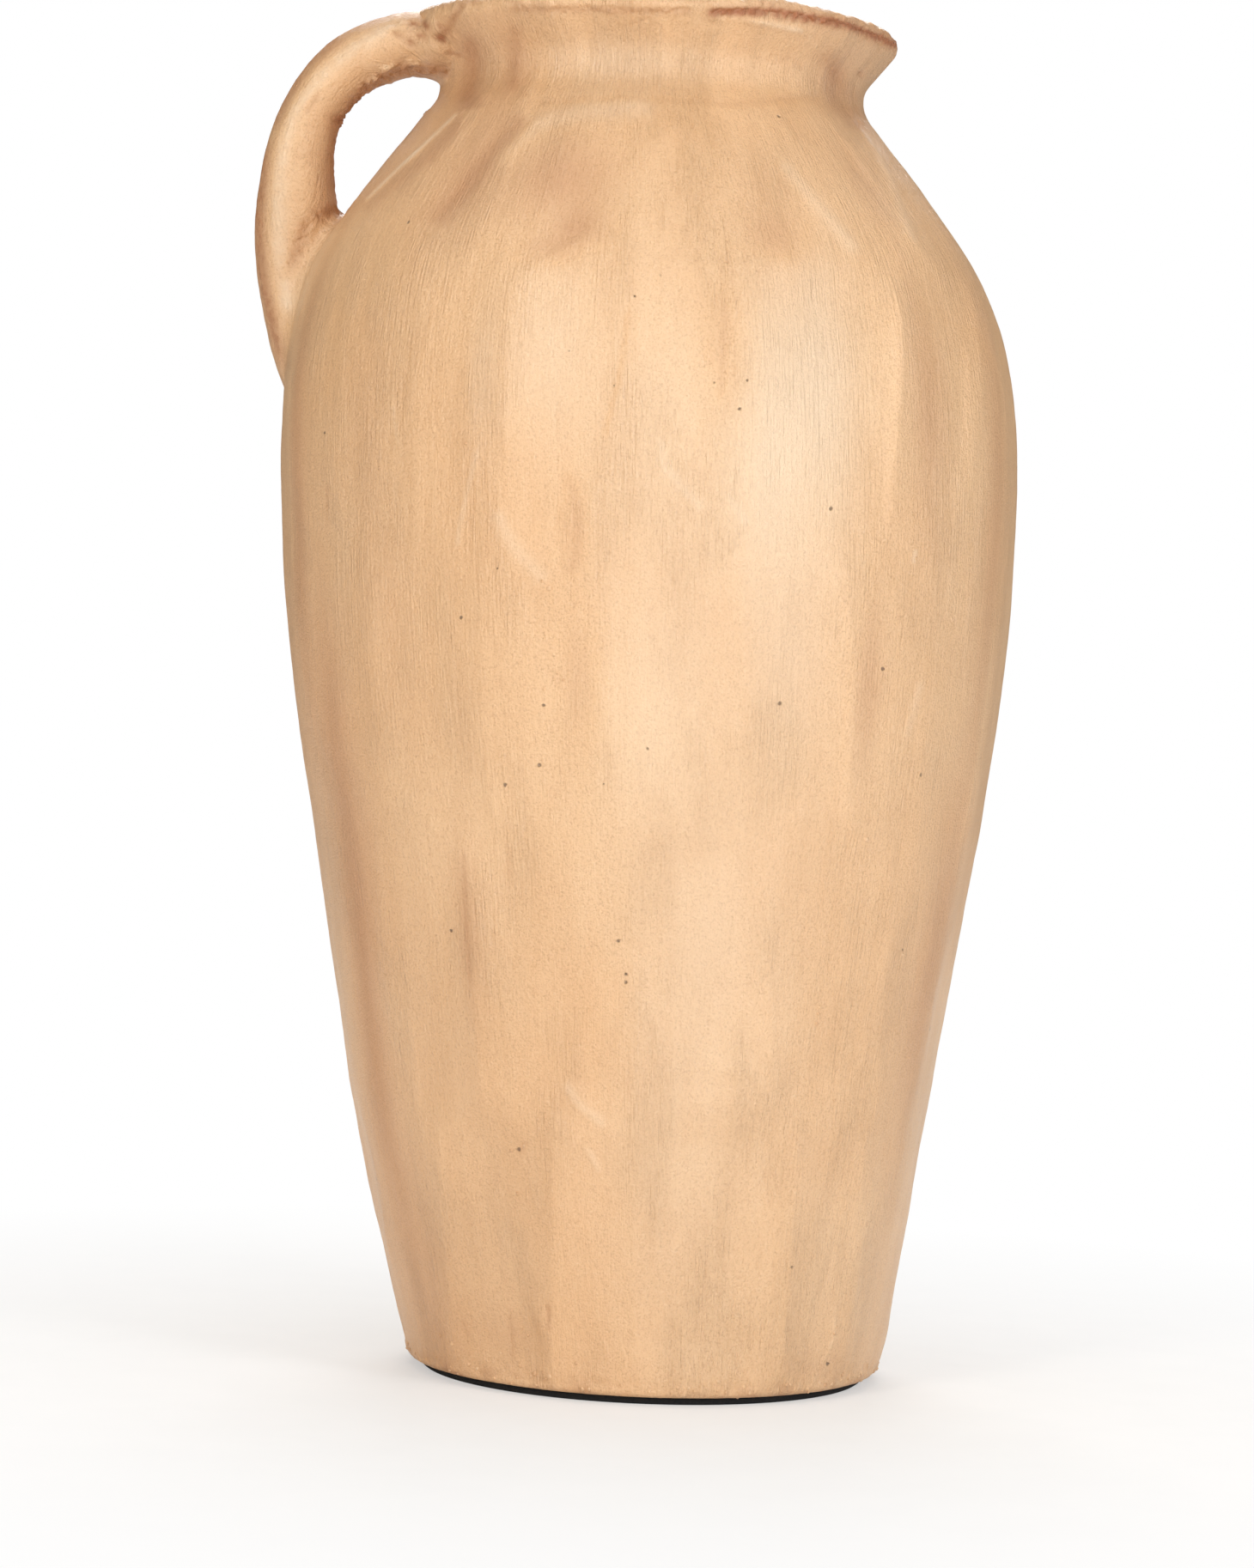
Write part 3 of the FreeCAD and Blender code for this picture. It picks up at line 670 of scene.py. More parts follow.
def marks_relief(bearing, z):
    """Swellings, dents, ridges, grooves and edges of layers."""
    relief = np.zeros(len(z))
    add_ovals(relief, bearing, z, PLACED_SWELLS)
    for near, gap, share, height, _ in stroke_shares(bearing, z):
        places = np.column_stack([z[near], STROKE_TURN * bearing[near], gap])
        relief[near] += height * share * (STROKE_EVEN + STROKE_UNEVEN * noise(places, 7, 15))
    for line, rise, reach in PLACED_STEPS:
        near = near_line(bearing, z, line, LINE_REACH * reach)
        gap, side, along = line_distance(bearing[near], z[near], line)
        profile = side * np.exp(-gap / reach) * (1 - np.exp(-((gap / LAYER_EDGE) ** 2)))
        relief[near] += rise * profile * ends_fade(along)
    return relief


def marks_tone_and_painted_light(bearing, z):
    """How much darker or paler the wall is painted at points: painted shade and painted highlights, as well
    as darker or paler clay.
    """
    tone = np.zeros(len(z))
    add_ovals(tone, bearing, z, PLACED_TONES_AND_PAINTED_LIGHT)
    for near, _, share, _, amount in stroke_shares(bearing, z):
        tone[near] += amount * share
    return tone


# Marks on the lip, the neck and the handle: the line and half its width in the frame, the height in
# millimetres, the tone, and how torn the clay is. The tone paints shade into the grooves, the crevice under
# the handle's top and along the handle's outer edge and the neck's left side, and paints a sheen band down
# the handle, a bright line along the hole's edge and paler ridges as highlights.
UPPER_MARKS = (
    (((536, 0), (526, 20), (517, 40)), 4, -0.7, 0.4, 0.2),
    (((478, 27), (486, 29)), 3, -0.6, 0.6, 0.5),
    (((494, 27), (497, 32)), 3.5, -0.7, 0.8, 0.6),
    (((511, 30), (514, 27)), 3, -0.6, 0.6, 0.5),
    (((489, 42), (494, 44)), 3, -0.6, 0.6, 0.5),
    (((511, 43), (516, 46)), 4, -0.7, 0.8, 0.6),
    (((458, 38), (466, 42)), 3, -0.5, 0.5, 0.4),
    (((476, 48), (480, 52)), 3.5, -0.6, 0.6, 0.5),
    (((522, 61), (534, 64)), 3, -0.4, 0.5, 0.4),
    (((462, 30), (520, 40)), 13, 0.0, 0.12, 0.7),
    (((398, 140), (428, 100), (465, 81), (516, 82)), 8, -0.2, 0.55, 1.8),
    (((446, 82), (456, 78)), 4, 0.6, -0.3, 1.0),
    (((430, 96), (436, 92)), 4, 0.6, -0.3, 1.0),
    (((478, 73), (486, 73)), 4, 0.4, -0.2, 1.0),
    (((356, 262), (346, 290), (331, 318)), 8, -0.45, 0.35, 0.5),
    (((372, 250), (398, 242)), 9, 0.0, 0.5, 0.9),
    (
        ((462, 24), (412, 56), (374, 89), (344, 127), (329, 178), (323, 237), (326, 296), (334, 352)),
        9, 0.0, -0.4, 0.1,
    ),
    (((368, 112), (358, 128)), 4, -0.3, 0.3, 0.4),
    (((531, 133), (480, 181), (427, 233)), 2, 0.3, -0.6, 0.0),
    (((384, 266), (362, 312), (336, 362)), 10, 0.3, -0.12, 0.2),
    (((306, 170), (300, 250), (306, 330), (326, 425)), 9, 0.0, 0.6, 0.1),
    (((318, 140), (352, 78), (405, 30), (470, 8)), 9, 0.0, 0.5, 0.15),
    (((389, 140), (390, 215), (404, 236)), 8, 0.0, 0.45, 0.5),
    (((556, 120), (500, 180), (430, 236)), 9, 0.2, 0.3, 0.0),
    (((630, 120), (720, 113), (860, 119), (950, 112)), 4, -0.3, 0.12, 0.1),
    (((548, 50), (542, 112)), 12, 0.0, 0.3, 0.15),
    (((600, 30), (598, 100)), 8, 0.0, 0.2, 0.1),
    (((830, 14), (868, 17), (930, 31)), 5, 0.5, -0.3, 0.2),
    (((832, 9), (900, 8), (990, 23), (1042, 46)), 8, -0.7, 1.1, 1.8),
    (((600, 3), (700, 3), (800, 4)), 6, -0.2, 0.3, 0.9),
    (((650, 30), (690, 45), (720, 50)), 12, 0.0, 0.0, 0.4),
    (((725, 26), (760, 12)), 2, -0.15, 0.15, 0.0),
    (((902, 73), (920, 68)), 2, -0.15, 0.15, 0.0),
    (((928, 76), (932, 78)), 4, -0.3, 0.2, 0.0),
    (((1002, 85), (1004, 87)), 3, -0.4, 0.6, 0.0),
    (((965, 70), (985, 100), (1000, 140)), 12, 0.0, 0.3, 0.4),
)


# These marks lie from this height up, in front of this depth, and on the handle or over the shoulder.
MARKS_Z, MARKS_FULL_Z, MARKS_DEPTH, HANDLE_X, COLLAR_Z = 300, 318, 8, -70, 384
TORN_CLAY = ((0.5, 2.2, 51), (0.35, 1.2, 52))
TORN_TONE = 0.7


def upper_marks(points):
    """Relief and tone of the marks above the belly, on the side that the camera sees; the tone holds painted
    shade and painted highlights.
    """
    relief, tone = np.zeros(len(points)), np.zeros(len(points))
    x, y, z = points.T
    up = np.flatnonzero((z > MARKS_Z) & (y < MARKS_DEPTH) & ((x < HANDLE_X) | (z > COLLAR_Z)))
    part = points[up]
    if not len(up):
        return relief, tone
    px, py = frame_place(part)
    facing = smooth_step(MARKS_DEPTH, 0, part[:, 1]) * smooth_step(MARKS_Z, MARKS_FULL_Z, part[:, 2])
    torn = lumps(part, TORN_CLAY)
    for line, width, height, amount, tear in UPPER_MARKS:
        gap, _, _ = flat_distance(px, py, np.array(line, float))
        weight = np.exp(-((gap / width) ** 2)) * facing
        relief[up] += weight * (height + tear * torn)
        tone[up] += weight * amount * (1 + TORN_TONE * torn)
    return relief, tone


def link(name, verts, quads, caps=(), normals=None, fields=None):
    """A smooth mesh object from points in millimetres, with named values on its points."""
    mesh = bpy.data.meshes.new(name)
    faces = [list(map(int, face)) for face in (*quads, *caps)]
    mesh.from_pydata((verts * MM).tolist(), [], faces)
    mesh.polygons.foreach_set("use_smooth", [True] * len(faces))
    for key, values in (fields or {}).items():
        values = np.asarray(values, np.float32)
        kind = "FLOAT_VECTOR" if values.ndim == 2 else "FLOAT"
        attribute = mesh.attributes.new(key, kind, "POINT")
        attribute.data.foreach_set("vector" if values.ndim == 2 else "value", values.ravel())
    mesh.update()
    if normals is not None:
        mesh.normals_split_custom_set_from_vertices(normals.tolist())
    return new_object(name, mesh)


def ring_quads(rows, around, closed):
    """Quads between rows of points, also from the last row to the first where closed."""
    index = np.arange(rows * around).reshape(rows, around)
    low = index if closed else index[:-1]
    high = np.roll(index, -1, axis=0) if closed else index[1:]
    corners = (low, np.roll(low, -1, axis=1), np.roll(high, -1, axis=1), high)
    return np.stack(corners, axis=-1).reshape(-1, 4)


def end_caps(rows, around):
    """The faces that close the first and the last ring of a tube."""
    ring = np.arange(around)
    return [ring[::-1], ring + (rows - 1) * around]


def stand_for(piece, material, *nodes):
    piece.data.materials.append(material)
    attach(piece, "root")
    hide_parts(*nodes)
    return piece


class Graph:
    """Short ways to add shader nodes and join them."""

    def __init__(self, owner):
        owner.use_nodes = True
        self.tree = owner.node_tree
        self.tree.nodes.clear()

    def add(self, kind, inputs=None, **settings):
        node = self.tree.nodes.new(kind)
        for key, setting in settings.items():
            setattr(node, key, setting)
        for key, source in (inputs or {}).items():
            if isinstance(source, bpy.types.NodeSocket):
                self.tree.links.new(source, node.inputs[key])
            else:
                node.inputs[key].default_value = source
        return node

    def math(self, operation, a, b):
        return self.add("ShaderNodeMath", {0: a, 1: b}, operation=operation).outputs[0]

    def product(self, first, *rest):
        return self.math("MULTIPLY", first, self.product(*rest)) if rest else first

    def total(self, first, *rest):
        for term in rest:
            first = self.math("ADD", first, term)
        return first

    def object_place(self):
        return self.add("ShaderNodeTexCoord").outputs["Object"]

    def noise(self, vector, scale, detail=2.0, roughness=0.5):
        inputs = {"Vector": vector, "Scale": scale, "Detail": detail, "Roughness": roughness}
        return self.add("ShaderNodeTexNoise", inputs).outputs["Fac"]

    def stretch(self, vector, factors):
        return self.add("ShaderNodeMapping", {"Vector": vector, "Scale": factors}).outputs["Vector"]

    def between(self, source, low, high, new_low=0.0, new_high=1.0):
        inputs = {"Value": source, "From Min": low, "From Max": high, "To Min": new_low, "To Max": new_high}
        return self.add("ShaderNodeMapRange", inputs).outputs["Result"]

    def mix(self, share, a, b):
        return self.add("ShaderNodeMix", {0: share, 6: a, 7: b}, data_type="RGBA").outputs[2]

    def mix_shaders(self, share, a, b):
        return self.add("ShaderNodeMixShader", {0: share, 1: a, 2: b}).outputs[0]

    def bump(self, height, strength, distance):
        inputs = {"Height": height, "Strength": strength, "Distance": distance}
        return self.add("ShaderNodeBump", inputs).outputs["Normal"]

    def principled(self, **inputs):
        """A surface, each input named with a low line for its space."""
        named = {key.replace("_", " "): source for key, source in inputs.items()}
        return self.add("ShaderNodeBsdfPrincipled", named).outputs[0]

    def show(self, shader, kind="ShaderNodeOutputMaterial"):
        self.add(kind, {0: shader})


def srgb(red, green, blue):
    """A linear colour from the usual 0 to 255 values."""
    values = [v / 255 for v in (red, green, blue)]
    return tuple(v / 12.92 if v <= 0.04045 else ((v + 0.055) / 1.055) ** 2.4 for v in values) + (1.0,)


# Single pits that the photograph shows, in its frame.
PITS = (
    (378, 504), (870, 443), (968, 592), (908, 819), (754, 872), (861, 476), (1028, 779), (537, 719),
    (579, 662), (715, 449), (628, 891), (703, 913), (720, 1096), (729, 1135), (729, 1144), (633, 821),
    (922, 1476), (964, 1590), (604, 1339), (1051, 1106), (588, 914), (525, 1084), (739, 345),
)
PIT_VARIETY = 0.0001
PIT_WARP = 0.0007


def placed_pits(g, place):
    """Distance in metres to the nearest pit, seen from the front."""
    flat = g.stretch(place, (1.0, 0.0, 1.0))
    nearest = None
    for pit in PITS:
        bearing, z = on_wall(*pit)
        x = middle_x(z) + radius_at(bearing, z) * cos(bearing)
        gap = g.add("ShaderNodeVectorMath", {0: flat, 1: (x * MM, 0, z * MM)}, operation="DISTANCE")
        grown = g.math("ADD", gap.outputs["Value"], PIT_VARIETY * (pit[0] % 4 - 1))
        nearest = grown if nearest is None else g.math("MINIMUM", nearest, grown)
    return nearest


# Colours of the clay, its marks and the pad's felt, each from 0 to 255. The marks' dark and pale colours also
# draw the painted shade and painted highlights that the tone carries, and the pits' colour is painted shade.
CLAY_LIGHT, CLAY_DARK = (235, 193, 148), (230, 184, 137)
PATCH_TINT, STROKE_TINT = (213, 163, 112), (236, 198, 156)
HAIR_TINT, GRAIN_TINT = (192, 138, 92), (196, 142, 94)
DARK_SAND, PALE_SAND = (178, 124, 80), (245, 216, 184)
DARK_MARK_AND_PAINTED_SHADE, PALE_MARK_AND_PAINTED_HIGHLIGHT, PIT_PAINTED_SHADE = (170, 104, 58), (248, 226, 200), (88, 52, 34)
FELT_DARK, FELT_LIGHT = (14, 15, 17), (36, 37, 40)

# How strongly the clay shines and in what tint, and the height in metres of the finest relief.
CLAY_SHINE, CLAY_SHINE_TINT, CLAY_BUMP, FELT_BUMP = 1.8, (0.8, 0.93, 1.0, 1), 0.0004, 0.0003

# The floor's two greys, and from where to where, in metres from the middle, it turns into plain white.
FLOOR_DARK, FLOOR_LIGHT = (0.93, 0.93, 0.93, 1), (0.96, 0.96, 0.96, 1)
WHITE = (1, 1, 1, 1)
GLOW_NEAR, GLOW_FAR = 0.09, 0.42


def clay_material():
    material = bpy.data.materials.new("clay")
    g = Graph(material)
    brush = g.add("ShaderNodeAttribute", attribute_name="brush").outputs["Vector"]
    tone = g.add("ShaderNodeAttribute", attribute_name="tone").outputs["Fac"]
    place = g.object_place()

    def brushed(across, along, detail, roughness=0.5):
        """Noise drawn out along the brush marks."""
        return g.noise(g.stretch(brush, (across, across, along)), 1.0, detail, roughness)

    # brush marks run up the wall in patches, fine hairs inside broader strokes
    strokes = brushed(0.2, 0.024, 3.0, 0.55)
    hairs = brushed(1.3, 0.07, 3.0, 0.6)
    fine_hairs = brushed(3.0, 0.16, 2.0, 0.6)
    combed = g.between(brushed(0.05, 0.02, 2.0), 0.44, 0.6, 0.3, 1.0)
    grain = brushed(0.95, 0.4, 3.0, 0.62)
    sand = g.noise(place, 1500.0, 3.0, 0.65)
    sandy = g.between(g.noise(place, 28.0, 2.0), 0.35, 0.65, 0.8, 1.0)
    clouds = g.noise(place, 11.0, 3.0, 0.5)
    patches = brushed(0.045, 0.014, 3.0, 0.55)

    # small pits, a few to the palm's width, and the ones that show one by one, their insides painted dark as
    # shade
    cells = g.add("ShaderNodeTexVoronoi", {"Vector": place, "Scale": 120.0}, feature="F1")
    lottery = g.add("ShaderNodeSeparateColor", {"Color": cells.outputs["Color"]}).outputs[0]
    pit_size = g.between(lottery, 0.95, 1.0, 0.0, 0.085)
    scattered = g.between(g.math("SUBTRACT", pit_size, cells.outputs["Distance"]), -0.015, 0.03)
    warped = g.total(placed_pits(g, place), g.product(sand, PIT_WARP))
    pits = g.math("MAXIMUM", scattered, g.between(warped, 0.0005, 0.0009, 1.0, 0.0))

    colour = g.mix(g.between(clouds, 0.35, 0.65), srgb(*CLAY_DARK), srgb(*CLAY_LIGHT))
    for share, tint in (
        (g.between(patches, 0.4, 0.65, 0.0, 0.28), PATCH_TINT),
        (g.between(strokes, 0.45, 0.75, 0.0, 0.2), STROKE_TINT),
        (g.product(g.between(hairs, 0.3, 0.5, 0.15, 0.0), combed), HAIR_TINT),
        (g.between(grain, 0.32, 0.48, 0.15, 0.0), GRAIN_TINT),
        (g.product(g.between(sand, 0.34, 0.48, 0.4, 0.0), sandy), DARK_SAND),
        (g.between(sand, 0.56, 0.68, 0.0, 0.2), PALE_SAND),
        # the tone's darker and paler clay, painted shade and painted highlights
        (g.between(tone, 0.0, 1.0), DARK_MARK_AND_PAINTED_SHADE),
        (g.between(tone, 0.0, -1.0), PALE_MARK_AND_PAINTED_HIGHLIGHT),
        # the pits' insides painted dark as shade
        (g.product(pits, 0.65), PIT_PAINTED_SHADE),
    ):
        colour = g.mix(share, colour, srgb(*tint))
    height = g.total(
        g.product(hairs, combed, 1.9),
        g.product(fine_hairs, combed, 0.6),
        g.product(strokes, 0.8),
        g.product(grain, sandy, 1.0),
        g.product(sand, sandy, 1.1),
        g.product(pits, -1.6),
    )
    rough = g.total(
        g.between(patches, 0.3, 0.7, 0.25, 0.33), g.product(sand, 0.08), g.between(tone, 0.1, 0.5, 0.0, 0.2)
    )
    g.show(g.principled(
        Base_Color=colour,
        Roughness=rough,
        IOR=CLAY_SHINE,
        Specular_Tint=CLAY_SHINE_TINT,
        Normal=g.bump(height, 1.0, CLAY_BUMP),
    ))
    return material


def pad_material():
    material = bpy.data.materials.new("pad_felt")
    g = Graph(material)
    fibres = g.noise(g.object_place(), 2200.0, 4.0, 0.7)
    colour = g.mix(g.between(fibres, 0.3, 0.7), srgb(*FELT_DARK), srgb(*FELT_LIGHT))
    g.show(g.principled(Base_Color=colour, Roughness=0.95, Normal=g.bump(fibres, 0.8, FELT_BUMP)))
    return material


def floor_material():
    """Pale and matte, turning into the white of the studio away from the jug."""
    material = bpy.data.materials.new("studio_floor")
    g = Graph(material)
    place = g.object_place()
    colour = g.mix(g.between(g.noise(place, 40.0, 3.0), 0.3, 0.7), FLOOR_DARK, FLOOR_LIGHT)
    surface = g.principled(Base_Color=colour, Roughness=0.9)
    glow = g.add("ShaderNodeEmission", {"Color": WHITE, "Strength": 1.0}).outputs[0]
    away = g.add("ShaderNodeVectorMath", {0: place}, operation="LENGTH").outputs["Value"]
    seen = g.add("ShaderNodeLightPath").outputs["Is Camera Ray"]
    g.show(g.mix_shaders(g.product(g.between(away, GLOW_NEAR, GLOW_FAR, 0.45, 1.0), seen), surface, glow))
    return material


# The wall's own relief: the clay's lumps at each size, how far all of it is sunk, and its worn edges.
WALL_LUMPS = (
    (0.4, (46, 46, 60), 11),
    (0.26, (17, 17, 30), 12),
    (0.1, (6, 6, 11), 13),
    (0.05, (2.6, 2.6, 4.5), 14),
)
EDGE_LUMPS = ((0.3, 5, 62), (0.3, 2.4, 63))
RELIEF_SINK = 0.2
LIP_DIP, LIP_WAVES = 1.5, ((-0.9, 1, 0), (0.5, 3, 1), (0.25, 7, 0))
LIP_DIP_Z, LIP_TORN_Z, LIP_WORN_Z = (398, 420), (414, 418), (416, 419.5)
FOOT_WORN_Z, FOOT_TORN_Z, FOOT_TORN_REACH = (3, 9), 5, 4
FOOT_TORN_SINK, LIP_TORN_GAIN, LIP_TORN_SINK = 0.15, 1.2, 0.25
FOOT_TONE, LIP_TONE, LIP_PATCH_TONE = 0.3, 0.15, 0.25
PATCH_SIZE, PATCH_STEP = (7, 7, 4), (-0.1, 0.5)
MARKS_END_Z = (386, 391)
LIP_FADE_ROWS = (24, 48)
FOOT_FADE_ROWS = 9
BOX_MARGIN = 0.02
BRUSH_RADIUS = 110


def unit(vectors):
    return vectors / np.maximum(np.linalg.norm(vectors, axis=1, keepdims=True), 1e-9)


def round_axis(points):
    """How far points are from the jug's leaning axis, their bearing and their height."""
    x, z = points[:, 0] - middle_x(points[:, 2]), points[:, 2]
    return np.hypot(x, points[:, 1]), np.arctan2(points[:, 1], x), z


def brush_place(bearing, along, radius=BRUSH_RADIUS):
    """Where the pattern of the brush is read: round a cylinder and along the surface."""
    return np.stack(np.broadcast_arrays(radius * np.cos(bearing), radius * np.sin(bearing), along), axis=-1)


def wall_relief(points):
    """How far the clay stands out of the solids' outside at each point, below it where negative."""
    _, bearing, z = round_axis(points)
    marks = (flats_relief(bearing, z) + marks_relief(bearing, z)) * (1 - smooth_step(*MARKS_END_Z, z))
    return lumps(points, WALL_LUMPS) + edge_relief(points) - RELIEF_SINK + marks + upper_marks(points)[0]


def lip_sink(points):
    """How far the uneven lip lies below its highest place."""
    bearing = np.arctan2(points[:, 1], points[:, 0] + LEAN)
    dip = LIP_DIP + sum(height * np.sin(turns * bearing + shift) for height, turns, shift in LIP_WAVES)
    return np.maximum(dip, 0) * smooth_step(*LIP_DIP_Z, points[:, 2])


def edge_tone(points):
    """Darker clay where the foot's lower edge and the lip are worn rough."""
    patchy = smooth_step(*PATCH_STEP, noise(points, PATCH_SIZE, 61))
    foot = 1 - smooth_step(*FOOT_WORN_Z, points[:, 2])
    lip = smooth_step(*LIP_WORN_Z, points[:, 2])
    return FOOT_TONE * patchy * foot + (LIP_TONE + LIP_PATCH_TONE * patchy) * lip


def edge_relief(points):
    """Crumbly clay along the foot's lower edge and a torn lip."""
    foot = np.exp(-(((points[:, 2] - FOOT_TORN_Z) / FOOT_TORN_REACH) ** 2))
    lip = smooth_step(*LIP_TORN_Z, points[:, 2])
    rough = lumps(points, EDGE_LUMPS)
    return foot * (rough - FOOT_TORN_SINK) + lip * (LIP_TORN_GAIN * rough - LIP_TORN_SINK)


def shape_wall():
    """Displace the outside of the wall and give every row its brush coordinates and tone."""
    first, last = GRID_SPANS["base_slab"][0] + UNDERSIDE_ROWS, WALL_ROWS[1]
    rows, around = GRID.shape[:2]
    points = GRID[first:last].reshape(-1, 3)
    fade = np.ones((last - first, around))
    lip_start = GRID_SPANS["rim_lip"][0] - first
    fade[lip_start:] = 1 - smooth_step(*LIP_FADE_ROWS, np.arange(last - first - lip_start))[:, None]
    fade[:FOOT_FADE_ROWS] = smooth_step(-1, FOOT_FADE_ROWS - 1, np.arange(FOOT_FADE_ROWS))[:, None]
    shaped = GRID.copy()
    shaped[first:last] += NORMALS[first:last] * (wall_relief(points).reshape(-1, around) * fade)[:, :, None]
    shaped[:, :, 2] -= lip_sink(GRID.reshape(-1, 3)).reshape(rows, around)
    low, high = np.array(cad_box) / MM
    shaped = np.clip(shaped, low + BOX_MARGIN, high - BOX_MARGIN)
    tones = np.zeros((rows, around))
    # the tone holds painted shade and painted highlights from the marks, and the worn edges' darker clay
    tone = marks_tone_and_painted_light(*round_axis(points)[1:]) + upper_marks(points)[1] * fade.ravel() + edge_tone(points)
    tones[first:last] = tone.reshape(-1, around)
    radial = np.hypot(GRID[:, 0, 0] - GRID[:, :, 0].mean(axis=1), GRID[:, 0, 1])
    step = np.hypot(np.diff(radial), np.diff(GRID[:, 0, 2]))
    along = np.concatenate([[0], np.cumsum(step)])
    return shaped, grid_normals(shaped), brush_place(BEARINGS, along[:, None]), tones


# Crumbs of clay stuck to the wall: their places in the frame, and half their size in millimetres.
CRUMBS = (
    (1010, 980, 0.9), (957, 1172, 0.7), (958, 1182, 0.6), (956, 1192, 0.6), (1051, 1110, 0.6),
    (1059, 1233, 0.5), (974, 1284, 0.5), (599, 1390, 0.7), (637, 683, 0.8), (630, 678, 0.5),
    (540, 517, 0.6), (438, 545, 0.5), (1109, 720, 0.6), (649, 785, 0.6), (645, 792, 0.5), (654, 791, 0.5),
    (642, 762, 0.6), (633, 801, 0.5), (598, 1592, 0.8), (617, 1601, 0.8), (636, 1604, 0.7),
    (525, 1564, 0.8), (539, 1590, 0.7), (512, 1556, 0.6), (575, 1578, 0.6), (604, 1548, 0.6),
    (612, 1556, 0.5), (990, 1603, 0.8), (1003, 1604, 0.7), (1012, 1600, 0.7), (1018, 1592, 0.6),
    (845, 303, 0.5), (1000, 305, 0.5), (978, 1545, 0.6), (975, 1552, 0.5), (592, 1340, 0.6),
    (608, 1334, 0.5), (532, 640, 0.6), (1067, 648, 0.5), (670, 1590, 0.5), (840, 1612, 0.6),
    (870, 1616, 0.7),
)

# Crumbs along the foot's edge: how many, their height and half size with the spread of each.
FOOT_CRUMBS = 110
CRUMB_Z, CRUMB_Z_SPREAD, CRUMB_HALF, CRUMB_HALF_SPREAD = 5.2, 3.2, 0.45, 0.35
CRUMB_STRAY = 1.5
CRUMB_KEY, CRUMB_KEY_STEP = (0.5, 3.1, 9.7), (7.3, 0, 0)

# A crumb: its rings and sides, how uneven and squashed it is, and whose slope its shading follows.
CRUMB_RINGS, CRUMB_SIDES, CRUMB_UNEVEN, CRUMB_SQUASH = 5, 8, 0.45, 0.4
CRUMB_OWN_SLOPE, CRUMB_WALL_SLOPE = 0.8, 0.5
CRUMB_SEED, CRUMB_TONE = 80, 0.12


def crumb_places():
    """Bearing, height and half size of each crumb: the photograph's, then more along the foot's edge."""
    places = [(*on_wall(px, py), size) for px, py, size in CRUMBS]
    for index in range(FOOT_CRUMBS):
        key = np.add(CRUMB_KEY, np.multiply(CRUMB_KEY_STEP, index))[None]
        turn, lift, grow = (noise(key, 5.0, seed)[0] for seed in (71, 72, 73))
        bearing = (index + CRUMB_STRAY * turn) * 2 * pi / FOOT_CRUMBS
        places.append((bearing, CRUMB_Z + CRUMB_Z_SPREAD * lift, CRUMB_HALF + CRUMB_HALF_SPREAD * abs(grow)))
    return places


CRUMB_PLACES = crumb_places()


def crumb_shape(middle, normal, size, seed):
    """A small uneven lump half sunk in the clay, as points, quads and normals."""
    polar = np.linspace(0.05, pi - 0.05, CRUMB_RINGS)[:, None]
    turn = np.linspace(0, 2 * pi, CRUMB_SIDES, endpoint=False)[None]
    axes = np.broadcast_arrays(np.sin(polar) * np.cos(turn), np.sin(polar) * np.sin(turn), np.cos(polar))
    ways = np.stack(axes, axis=-1).reshape(-1, 3)
    spread = size * (1 + CRUMB_UNEVEN * noise(ways * size + middle, size * 0.9, seed))[:, None]
    squash = ways - CRUMB_SQUASH * (ways @ normal)[:, None] * normal
    quads = ring_quads(CRUMB_RINGS, CRUMB_SIDES, False)[:, ::-1]
    return middle + spread * squash, quads, unit(squash * CRUMB_OWN_SLOPE + normal * CRUMB_WALL_SLOPE)


def make_wall(clay):
    """The slab, the courses, the neck and the lip, each with its crumbs."""
    shaped, normals, brush, tones = shape_wall()
    around = len(BEARINGS)

    def add_piece(node, low, high, stretches, closed):
        """One piece from some stretches of the wall's rows, with the crumbs between two heights."""
        picked = np.concatenate([np.arange(*GRID_SPANS[name]) for name in stretches])
        quads = [ring_quads(len(picked), around, closed)]
        places = [values[picked].reshape(-1, 3) for values in (shaped, normals, brush)]
        parts = [[*places, tones[picked].ravel()]]
        count = len(parts[0][0])
        for seed, (bearing, z, size) in enumerate(CRUMB_PLACES):
            if not low <= z < high:
                continue
            column = int(round(bearing / (2 * pi) * around)) % around
            outside = slice(UNDERSIDE_ROWS, GRID_SPANS["rim_lip"][0])
            row = UNDERSIDE_ROWS + int(np.abs(shaped[outside, column, 2] - z).argmin())
            at = row, column
            lump, faces, ways = crumb_shape(shaped[at], normals[at], size, CRUMB_SEED + seed)
            tone = np.full(len(lump), CRUMB_TONE * (seed % 4) - CRUMB_TONE)
            parts.append([lump, ways, np.tile(brush_place(bearing, z), (len(lump), 1)), tone])
            quads.append(faces + count)
            count += len(lump)
        verts, norms, strokes, tone = (np.concatenate(values) for values in zip(*parts))
        caps = () if closed else end_caps(len(picked), around)
        fields = {"brush": strokes, "tone": tone}
        stand_for(link(node + "_clay", verts, np.concatenate(quads), caps, norms, fields), clay, node)

    for node, low, high in (*COURSE_SPANS, ("neck_collar", JOINTS[-1], NECK_TOP)):
        add_piece(node, low, high, (node, node + "_in"), True)
    add_piece("rim_lip", TOP, TOP, ("rim_lip",), True)
    add_piece("base_slab", 0, JOINTS[0], ("base_slab", "base_slab_in"), False)


# The handle: where its bend starts, its size, the curve down into the belly, how far it lies to the front.
BEND_X, BEND_Z = -(LEAN + NECK_RADIUS), 370.05
BEND_REACH, BEND_HEIGHT, ROOT_RADIUS, DROP = 39.2, 39.2, 122.0, 15.0
LIE_TOP, LIE_ROOT = -15, 12
FIRST_THICK, FIRST_WIDE, ROOT_THICK, ROOT_WIDE = 19.5, 34, 26.5, 28

